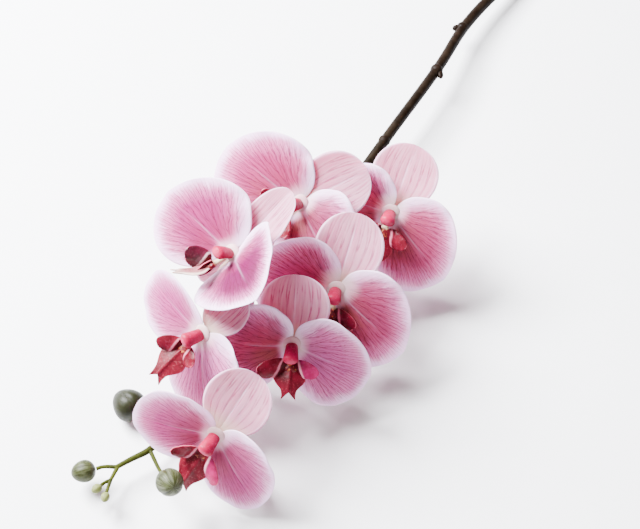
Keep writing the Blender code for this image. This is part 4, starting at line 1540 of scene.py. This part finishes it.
@dataclass
class Lip:
    """The lip of a bloom: claw and callus, a middle lobe with two horns, and two cupped side lobes."""

    plan: BloomPlan
    seed: int
    thickness: float = 0.7
    midlobe_grid: tuple[int, int] = (36, 26)
    overlap: float = 2.0
    midlobe_lift: float = 0.6
    midlobe_rise: float = 6.0
    midlobe_fold: float = -14.0
    horn_length: float = 4.4
    horn_start: float = 0.72
    horn_split: float = 0.62
    ruffle: float = 0.35
    midlobe_ruffles: float = 9.0
    lobe_ruffles: float = 1.4
    keel_height: float = 0.5
    keel_width: float = 0.8
    midlobe_map_end: float = 0.8
    lobe_grid: tuple[int, int] = (22, 16)
    lobe_first: float = 14.0
    lobe_arc: float = 160.0
    lobe_power: float = 0.8
    lobe_map_end: float = 0.9
    lobe_place: Point = (LIP_CLAW - 3.4, 1.6, 1.6)
    lobe_foot: float = 1.8
    lobe_slant: float = 0.25
    fold_depth: float = 1.1
    fold_place: float = 0.34
    fold_width: float = 0.07
    claw_grid: tuple[int, int] = (22, 30)
    bump_height: float = 0.35
    bump_rates: Span = (2.6, 2.4)
    bump_floor: float = 0.4

    def midlobe(self) -> tuple[FloatArray, list, FloatArray]:
        """The middle lobe's sheet.

        Returns:
            Points, faces and map.
        """
        share, side = grid_shares(self.midlobe_grid)
        notch = self.horn_length * smooth(self.horn_start, 1.0, share) * (np.abs(side) - self.horn_split)
        x = self.plan.lip_length * share + notch
        y = np.interp(share, MIDLOBE_SHARES, MIDLOBE_HALVES) * side
        points = bend_sheet(x, y, Blade(length=self.plan.lip_length, rise=self.midlobe_rise,
                                        bend=self.plan.lip_bend, fold=self.midlobe_fold, cup=0))
        relief = self.ruffle * np.abs(side) ** 3 * np.sin(self.midlobe_ruffles * share + self.seed)
        relief += self.keel_height * np.exp(-(y / self.keel_width) ** 2)
        points += grid_normals(points) * relief[..., None]
        points += np.array((LIP_CLAW - self.overlap, 0, self.midlobe_lift))
        flat = np.stack([share * self.midlobe_map_end + 0 * side, side * 0.5 + 0.5 + 0 * share], axis=-1)
        return points.reshape(-1, 3), grid_faces(*self.midlobe_grid), flat.reshape(-1, 2)

    def side_lobe(self, side: int) -> tuple[FloatArray, list, FloatArray]:
        """One side lobe's sheet.

        Args:
            side: 1 or -1.

        Returns:
            Points, faces and map.
        """
        lobe = self.plan.lobe_right if side > 0 else self.plan.lobe_left
        matrix = Matrix.Translation(self.lobe_place) @ turned(lobe.spread, "Z") @ turned(-lobe.rise, "Y")
        matrix = np.array(matrix @ turned(-lobe.lean, "X"))
        share, across = grid_shares(self.lobe_grid)
        angle = np.radians(self.lobe_first + self.lobe_arc * share)
        full = np.where(across < 0, lobe.upper, lobe.lower) * np.sin(angle) ** self.lobe_power
        y = np.maximum(full, self.lobe_foot * (1 - share)) * across
        x = lobe.length * (1 - np.cos(angle)) / 2 - self.lobe_slant * y
        points = bend_sheet(x, y, Blade(length=lobe.length, rise=0, bend=lobe.bend, cup=lobe.cup))
        fold = np.exp(-((share - self.lobe_slant * across - self.fold_place) / self.fold_width) ** 2)
        points -= grid_normals(points) * (self.fold_depth * fold * (1 - across ** 2))[..., None]
        ruffle = self.ruffle * share * np.abs(across) ** 3 * np.sin(self.lobe_ruffles * x + self.seed)
        points += grid_normals(points) * ruffle[..., None]
        points = points.reshape(-1, 3) @ matrix[:3, :3].T + matrix[:3, 3]
        points[:, 1] *= side
        flat = np.stack([share * self.lobe_map_end + 0 * across, across * 0.5 + 0.5 + 0 * share], axis=-1)
        return points, grid_faces(*self.lobe_grid, side < 0), flat.reshape(-1, 2)

    def claw(self) -> tuple[FloatArray, list, FloatArray]:
        """The claw and callus.

        Returns:
            Points, faces and map.
        """
        rows, sides = self.claw_grid
        share = np.linspace(0, 1, rows)
        wide = np.interp(share, CLAW_SHARES, CLAW_WIDE)[1:-1]
        tall = np.interp(share, CLAW_SHARES, CLAW_TALL)[1:-1]
        reach = (LIP_CLAW + self.overlap) * share
        middle = np.stack([reach, 0 * reach, 0 * reach], axis=-1)
        points, faces, flat = skinned(middle, wide, tall, Vector((0, 1, 0)), sides)
        along, across = self.bump_rates
        bumps = self.bump_height * np.sin(points[:, 0] * along) * np.sin(points[:, 1] * across)
        points[:, 2] += np.where(points[:, 2] > self.bump_floor, bumps, 0)
        return points, faces, flat

    def build(self, name: str, wardrobe: Wardrobe) -> bpy.types.Object:
        """Makes the lip in the bloom's frame.

        Args:
            name: Its name.
            wardrobe: The materials.

        Returns:
            The object.
        """
        sheets = [self.midlobe(), self.side_lobe(1), self.side_lobe(-1)]
        middle = wardrobe.pale_midlobe if self.plan.lip_pale else wardrobe.midlobe
        skins = [(middle, middle)]
        for lobe in (self.plan.lobe_right, self.plan.lobe_left):
            skins.append((wardrobe.side_lobe, wardrobe.lobe_faces[lobe.tint]))
        parts = []
        for (points, faces, flat), (front, back) in zip(sheets, skins):
            part = new_object("lip_part", points, faces, {"blade": flat}, [front, back])
            thicken(part, self.thickness)
            parts.append(part)
        points, faces, flat = self.claw()
        parts.append(new_object("lip_part", points, faces, {"blade": flat}, [wardrobe.callus]))
        return joined(name, parts)


def joined(name: str, parts: list[bpy.types.Object]) -> bpy.types.Object:
    """Joins objects as their modifiers leave them.

    Args:
        name: The name of the result.
        parts: The objects, which are removed.

    Returns:
        The joined object.
    """
    bpy.context.view_layer.update()
    graph = bpy.context.evaluated_depsgraph_get()
    points, faces, slots, materials = [], [], [], []
    maps: dict[str, list] = {"blade": [], "piece": []}
    start = 0
    for part in parts:
        mesh = bpy.data.meshes.new_from_object(part.evaluated_get(graph))
        mesh.transform(part.matrix_world)
        points += [tuple(vertex.co / MM) for vertex in mesh.vertices]
        for face in mesh.polygons:
            faces.append(tuple(start + index for index in face.vertices))
            slots.append(len(materials) + face.material_index)
        for label, collected in maps.items():
            values = np.zeros(len(mesh.loops) * 2, dtype=np.float32)
            if label in mesh.uv_layers:
                mesh.uv_layers[label].uv.foreach_get("vector", values)
            collected.append(values)
        materials += list(mesh.materials)
        start += len(mesh.vertices)
        bpy.data.objects.remove(part, do_unlink=True)
    whole = bpy.data.meshes.new(name)
    whole.from_pydata([tuple(value * MM for value in point) for point in points], [], faces)
    whole.update()
    for label, values in maps.items():
        layer = whole.uv_layers.new(name=label, do_init=False)
        layer.uv.foreach_set("vector", np.concatenate(values))
    unique = list(dict.fromkeys(materials))
    for material in unique:
        whole.materials.append(material)
    whole.polygons.foreach_set("material_index", [unique.index(materials[slot]) for slot in slots])
    whole.shade_smooth()
    return placed(name, whole)


@dataclass
class BloomBuilder:
    """Builds the seven pieces of one open bloom and puts them over their solids."""

    number: int
    plan: BloomPlan
    wardrobe: Wardrobe

    def place(self, item: bpy.types.Object, local: Matrix, node: str, slot: str) -> None:
        """Puts a piece in its place and lets it stand for its solid.

        Args:
            item: The piece.
            local: Its matrix in the bloom's frame.
            node: The solid that it replaces.
            slot: Not used.
        """
        item.data.transform(bloom_matrix(self.plan) @ local)
        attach(item, "root")
        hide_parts(node)
        LOG.info("%s", item.name)

    def blade(self, kind: Kind, shape: Blade, heading: float, lift: float) -> None:
        """Adds one petal or sepal.

        Args:
            kind: Which blade it is.
            shape: Its shape.
            heading: The way it points in the bloom's plane, in degrees.
            lift: How far in front of that plane it starts.
        """
        node = f"bloom_{self.number}_{kind.value}"
        looks = self.wardrobe
        faces = (looks.petal, looks.petal_back) if kind.is_petal else (looks.sepal, looks.sepal_back)
        seed = self.number * 10 + list(Kind).index(kind)
        item = BladeBuilder(shape, kind, seed).build(node + "_look", *faces)
        local = Matrix.Translation((0, 0, lift * MM)) @ turned(heading, "Z")
        self.place(item, local, node, "petal" if kind.is_petal else "sepal")

    def build(self) -> None:
        """Adds all the pieces of the bloom."""
        plan = self.plan
        self.blade(Kind.PETAL_RIGHT, plan.right, -plan.right.turn, PETAL_LIFT)
        self.blade(Kind.PETAL_LEFT, plan.left, 180 + plan.left.turn, PETAL_LIFT)
        self.blade(Kind.DORSAL, plan.dorsal, 90 + plan.dorsal.turn, 0)
        self.blade(Kind.SEPAL_RIGHT, plan.side_right, plan.side_right.turn - SIDE_SEPAL_ANGLE, 0)
        self.blade(Kind.SEPAL_LEFT, plan.side_left, 180 + SIDE_SEPAL_ANGLE - plan.side_left.turn, UNDER_LIFT)
        node = f"bloom_{self.number}_column"
        column = Column(plan).build(node + "_look", self.wardrobe)
        self.place(column, Matrix.Identity(4), node, "column")
        node = f"bloom_{self.number}_lip"
        pitch = math.radians(plan.lip_pitch)
        ahead = Vector((0, -math.cos(pitch), math.sin(pitch)))
        across = Vector((1, 0, 0))
        frame_of_lip = Matrix((ahead, across, ahead.cross(across))).transposed().to_4x4()
        local = Matrix.Translation(Vector(LIP_FOOT) * MM) @ turned(plan.lip_yaw, "Z") @ frame_of_lip
        local = local @ turned(plan.lip_roll, "X")
        self.place(Lip(plan, self.number).build(node + "_look", self.wardrobe), local, node, "lip")


@dataclass
class Stem:
    """The stalk with the stalks of the blooms and buds, the knobs, rings and bracts."""

    wardrobe: Wardrobe
    knob: float = 3.0
    knob_front: float = 2.2
    knob_middle: float = 2.5
    knob_back: float = 7.0
    knob_taper: float = 0.9
    dome_place: float = 0.2
    dome_half: float = 3.06
    dome_length: float = 4.5
    dome_grid: tuple[int, int] = (14, 24)
    pedicel_radius: float = 1.5
    pedicel_foot: float = 1.15
    pedicel_end: float = 1.2
    pedicel_steps: int = 8
    ring_lean: Point = (0.05, -1, 0.1)
    ring_length: float = 2.2
    ring_grid: tuple[int, int] = (14, 24)
    bract_lean: Point = (0, -0.6, 0.25)
    bract_seat: float = 0.9
    bract_half: float = 0.55
    bract_grid: tuple[int, int] = (12, 16)
    pedicel_tone: Span = (0.35, 1.0)
    bare_tone: Span = (0.0, 0.25)
    green_tone: Span = (0.25, 1.15)
    tip_tone: Span = (1.2, 1.3)
    bud_tone: Span = (1.0, 1.3)
    sides_level: int = 6
    steps: int = 10

    def tube(self, route: list[tuple[float, ...]], tone: Span, steps: int) -> bpy.types.Object:
        """A tube along a smooth curve.

        Args:
            route: Points as x, y, z and radius.
            tone: How green the tube is at its first and last point.
            steps: Steps between two points.

        Returns:
            The tube as a mesh.
        """
        curve = bpy.data.curves.new("tube", "CURVE")
        curve.dimensions = "3D"
        curve.bevel_depth = MM
        curve.bevel_resolution = self.sides_level
        curve.use_fill_caps = True
        spline = curve.splines.new("BEZIER")
        spline.resolution_u = steps
        spline.bezier_points.add(len(route) - 1)
        for knot, (x, y, z, radius) in zip(spline.bezier_points, route):
            knot.co = (x * MM, y * MM, z * MM)
            knot.radius = radius
            knot.handle_left_type = "AUTO"
            knot.handle_right_type = "AUTO"
        item = placed("tube", curve)
        bpy.context.view_layer.update()
        mesh = bpy.data.meshes.new_from_object(item.evaluated_get(bpy.context.evaluated_depsgraph_get()))
        bpy.data.objects.remove(item, do_unlink=True)
        mesh.shade_smooth()
        mesh.materials.clear()
        mesh.materials.append(self.wardrobe.stem)
        points = np.zeros(len(mesh.vertices) * 3)
        mesh.vertices.foreach_get("co", points)
        points = points.reshape(-1, 3) / MM
        start, end = np.array(route[0][:3]), np.array(route[-1][:3])
        span = end - start
        share = np.clip(((points - start) @ span) / (span @ span), 0, 1)
        values = np.stack([tone[0] + (tone[1] - tone[0]) * share, share], axis=-1)
        add_map(mesh, "piece", values)
        return placed("tube", mesh)

    def pedicel(self, plan: BloomPlan) -> list[bpy.types.Object]:
        """The stalk and the knob of one bloom.

        Args:
            plan: The bloom.

        Returns:
            The stalk and the knob.
        """
        facing = bloom_matrix(plan).to_3x3() @ Vector((0, 0, 1))
        centre = Vector(plan.centre)
        start = Vector(plan.joint)
        back = centre - facing * self.knob_back
        route = [
            (*start, self.pedicel_radius * self.pedicel_foot),
            (*(start + Vector(plan.leave)), self.pedicel_radius),
            (*(back - facing * plan.neck), self.pedicel_radius),
            (*back, self.pedicel_radius * self.pedicel_end),
            (*(centre - facing * self.knob_middle), self.knob),
            (*(centre + facing * self.knob_front), self.knob * self.knob_taper),
        ]
        stalk = self.tube(route, self.pedicel_tone, self.pedicel_steps)
        middle = centre + facing * self.dome_place
        dome = egg(tuple(middle), facing, self.dome_half, self.dome_length, self.wardrobe.knob,
                   *self.dome_grid)
        return [stalk, dome]

    def ring(self, x: float, y: float, z: float, radius: float, heading: float,
             length: float) -> list[bpy.types.Object]:
        """A ring of the bare stalk and the bract beside it.

        Args:
            x: The ring's place across the stem's length.
            y: Its place along it.
            z: Its height.
            radius: Its radius.
            heading: The side on which the bract sits, in degrees.
            length: The bract's length.

        Returns:
            The ring and the bract.
        """
        angle = math.radians(heading)
        outward = Vector((math.cos(angle), math.sin(angle), 0))
        ahead = (outward + Vector(self.bract_lean)).normalized()
        middle = Vector((x, y, z)) + outward * radius * self.bract_seat
        skin = self.wardrobe.stem
        lean, long = Vector(self.ring_lean), radius * self.ring_length
        return [egg((x, y, z), lean, radius, long, skin, *self.ring_grid),
                egg(tuple(middle), ahead, radius * self.bract_half, length, skin, *self.bract_grid)]

    def build(self) -> None:
        """Adds the stem."""
        parts = [self.tube(STALK_ROUTE[:GREEN_START + 1], self.bare_tone, self.steps),
                 self.tube(STALK_ROUTE[GREEN_START:], self.green_tone, self.steps),
                 self.tube(TIP_BRANCH, self.tip_tone, self.steps)]
        for plan in BLOOMS:
            parts += self.pedicel(plan)
        for bud in BUDS:
            parts.append(self.tube(bud_stalk_route(bud), self.bud_tone, self.steps))
        for joint in STALK_JOINTS:
            parts += self.ring(*joint)
        item = joined("stem_look", parts)
        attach(item, "root")
        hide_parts("stem")
        LOG.info("%s", item.name)


def bud_direction(bud: BudPlan) -> Vector:
    """The direction in which a bud points, as a unit vector."""
    return (Vector(bud.centre) - Vector(bud.joint) - Vector(bud.bow) * 0.5).normalized()


def bud_stalk_route(bud: BudPlan) -> list[tuple[float, ...]]:
    """The route of a bud's stalk, which ends in the foot of the bud.

    Args:
        bud: The bud.

    Returns:
        Points as x, y, z and radius.
    """
    start = Vector(bud.joint)
    seat = Vector(bud.centre) - bud_direction(bud) * (bud.length / 2 + BUD_SEAT)
    middle = start.lerp(seat, 0.5) + Vector(bud.bow) * BUD_STALK_BOW
    return [(*start, bud.stalk * BUD_STALK_FOOT), (*middle, bud.stalk), (*seat, bud.stalk * BUD_STALK_END)]


def egg(middle: tuple[float, ...], ahead: Vector, half: float, length: float, material: bpy.types.Material,
        rows: int, sides: int, blunt: float = 0.0, creases: float = 0.0,
        piece: Span = (0.0, 0.0)) -> bpy.types.Object:
    """A closed egg along a direction.

    Args:
        middle: Its centre.
        ahead: The way it points.
        half: Its half width.
        length: Its length.
        material: Its material.
        rows: Rows of faces.
        sides: Points in a row.
        blunt: How much fuller its foot is than its tip.
        creases: The depth of its three creases, as a share of its half width.
        piece: The two numbers of its piece map.

    Returns:
        The object.
    """
    frame_of_egg = np.array(ahead.to_track_quat("Z", "X").to_matrix())
    points = [(0.0, 0.0, -length / 2)]
    flat = [(0.0, 0.5)]
    for row in range(1, rows):
        angle = math.pi * row / rows
        wide = half * math.sin(angle) * (1 + blunt * math.cos(angle))
        for step in range(sides):
            around = 2 * math.pi * step / sides
            dent = math.exp(-(math.sin(BUD_CREASES / 2 * around) / CREASE_SHARE) ** 2)
            radius = wide * (1 - creases * dent * math.sin(angle) ** 0.5)
            points.append((radius * math.cos(around), radius * math.sin(around),
                           -math.cos(angle) * length / 2))
            flat.append((row / rows, step / sides))
    points.append((0.0, 0.0, length / 2))
    flat.append((1.0, 0.5))
    world = np.array(points) @ frame_of_egg.T + np.array(middle)
    maps = {"blade": np.array(flat), "piece": np.tile(piece, (len(points), 1))}
    return new_object("egg", world, ring_faces(rows - 1, sides), maps, [material])


@dataclass
class BudBuilder:
    """Builds one bud over its solid."""

    number: int
    plan: BudPlan
    wardrobe: Wardrobe
    rows: int = 34
    sides: int = 48
    creases: float = 0.06
    seed_scale: float = 3.7

    def build(self) -> None:
        """Adds the bud."""
        item = egg(self.plan.centre, bud_direction(self.plan), self.plan.half, self.plan.length,
                   self.wardrobe.bud, self.rows, self.sides, self.plan.blunt, self.creases,
                   (self.number * self.seed_scale, self.plan.tone))
        item.name = f"bud_{self.number}_look"
        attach(item, "root")
        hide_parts(f"bud_{self.number}")
        LOG.info("%s", item.name)


@dataclass
class Studio:
    """The floor, the lights and the camera."""

    wardrobe: Wardrobe
    target: Point = (24.0, -385.0, 30.0)
    azimuth: float = 34.0
    elevation: float = 55.0
    distance: float = 950.0
    lens: float = 95.4
    floor_side: float = 6000.0
    room_colour: Colour = (1.0, 0.83, 0.77)
    room_strength: float = 0.27

    def floor(self) -> None:
        """Adds the floor."""
        far = self.floor_side / 2
        corners = np.array([(-far, -far, 0), (far, -far, 0), (far, far, 0), (-far, far, 0)])
        item = new_object("floor", corners, [(0, 1, 2, 3)], {}, [self.wardrobe.floor])

    def camera(self) -> None:
        """Adds the camera at the photograph's viewing angle."""
        back = direction(self.azimuth, self.elevation)
        made = bpy.data.cameras.new("camera")
        made.lens = self.lens
        made.sensor_width = 36.0
        item = placed("camera", made)
        item.location = (Vector(self.target) + back * self.distance) * MM
        item.rotation_euler = back.to_track_quat("Z", "Y").to_euler()
        bpy.context.scene.camera = item

    def lamp(self, name: str, place: Point, size: float, power: float, colour: Colour) -> None:
        """Adds a soft square light that looks at the target.

        Args:
            name: Its name.
            place: Where it stands, in millimetres from the target.
            size: Its side in metres.
            power: Its power in watts.
            colour: Its colour.
        """
        made = bpy.data.lights.new(name, "AREA")
        made.shape = "SQUARE"
        made.size = size
        made.energy = power
        made.color = colour
        item = placed(name, made)
        item.location = (Vector(self.target) + Vector(place)) * MM
        item.rotation_euler = Vector(place).to_track_quat("Z", "Y").to_euler()

    def build(self) -> None:
        """Adds everything that isn't the stem."""
        self.floor()
        self.camera()
        for lamp in LAMPS:
            self.lamp(*lamp)
        world = bpy.data.worlds.new("soft room")
        world.use_nodes = True
        light = world.node_tree.nodes["Background"]
        light.inputs["Color"].default_value = (*self.room_colour, 1.0)
        light.inputs["Strength"].default_value = self.room_strength
        bpy.context.scene.world = world


def main() -> None:
    logging.basicConfig(level=logging.INFO, format="%(message)s")
    wardrobe = Wardrobe()
    for number, plan in enumerate(BLOOMS, 1):
        BloomBuilder(number, plan, wardrobe).build()
    Stem(wardrobe).build()
    for number, bud in enumerate(BUDS, 1):
        BudBuilder(number, bud, wardrobe).build()
    Studio(wardrobe).build()


if __name__ == "__main__":
    main()
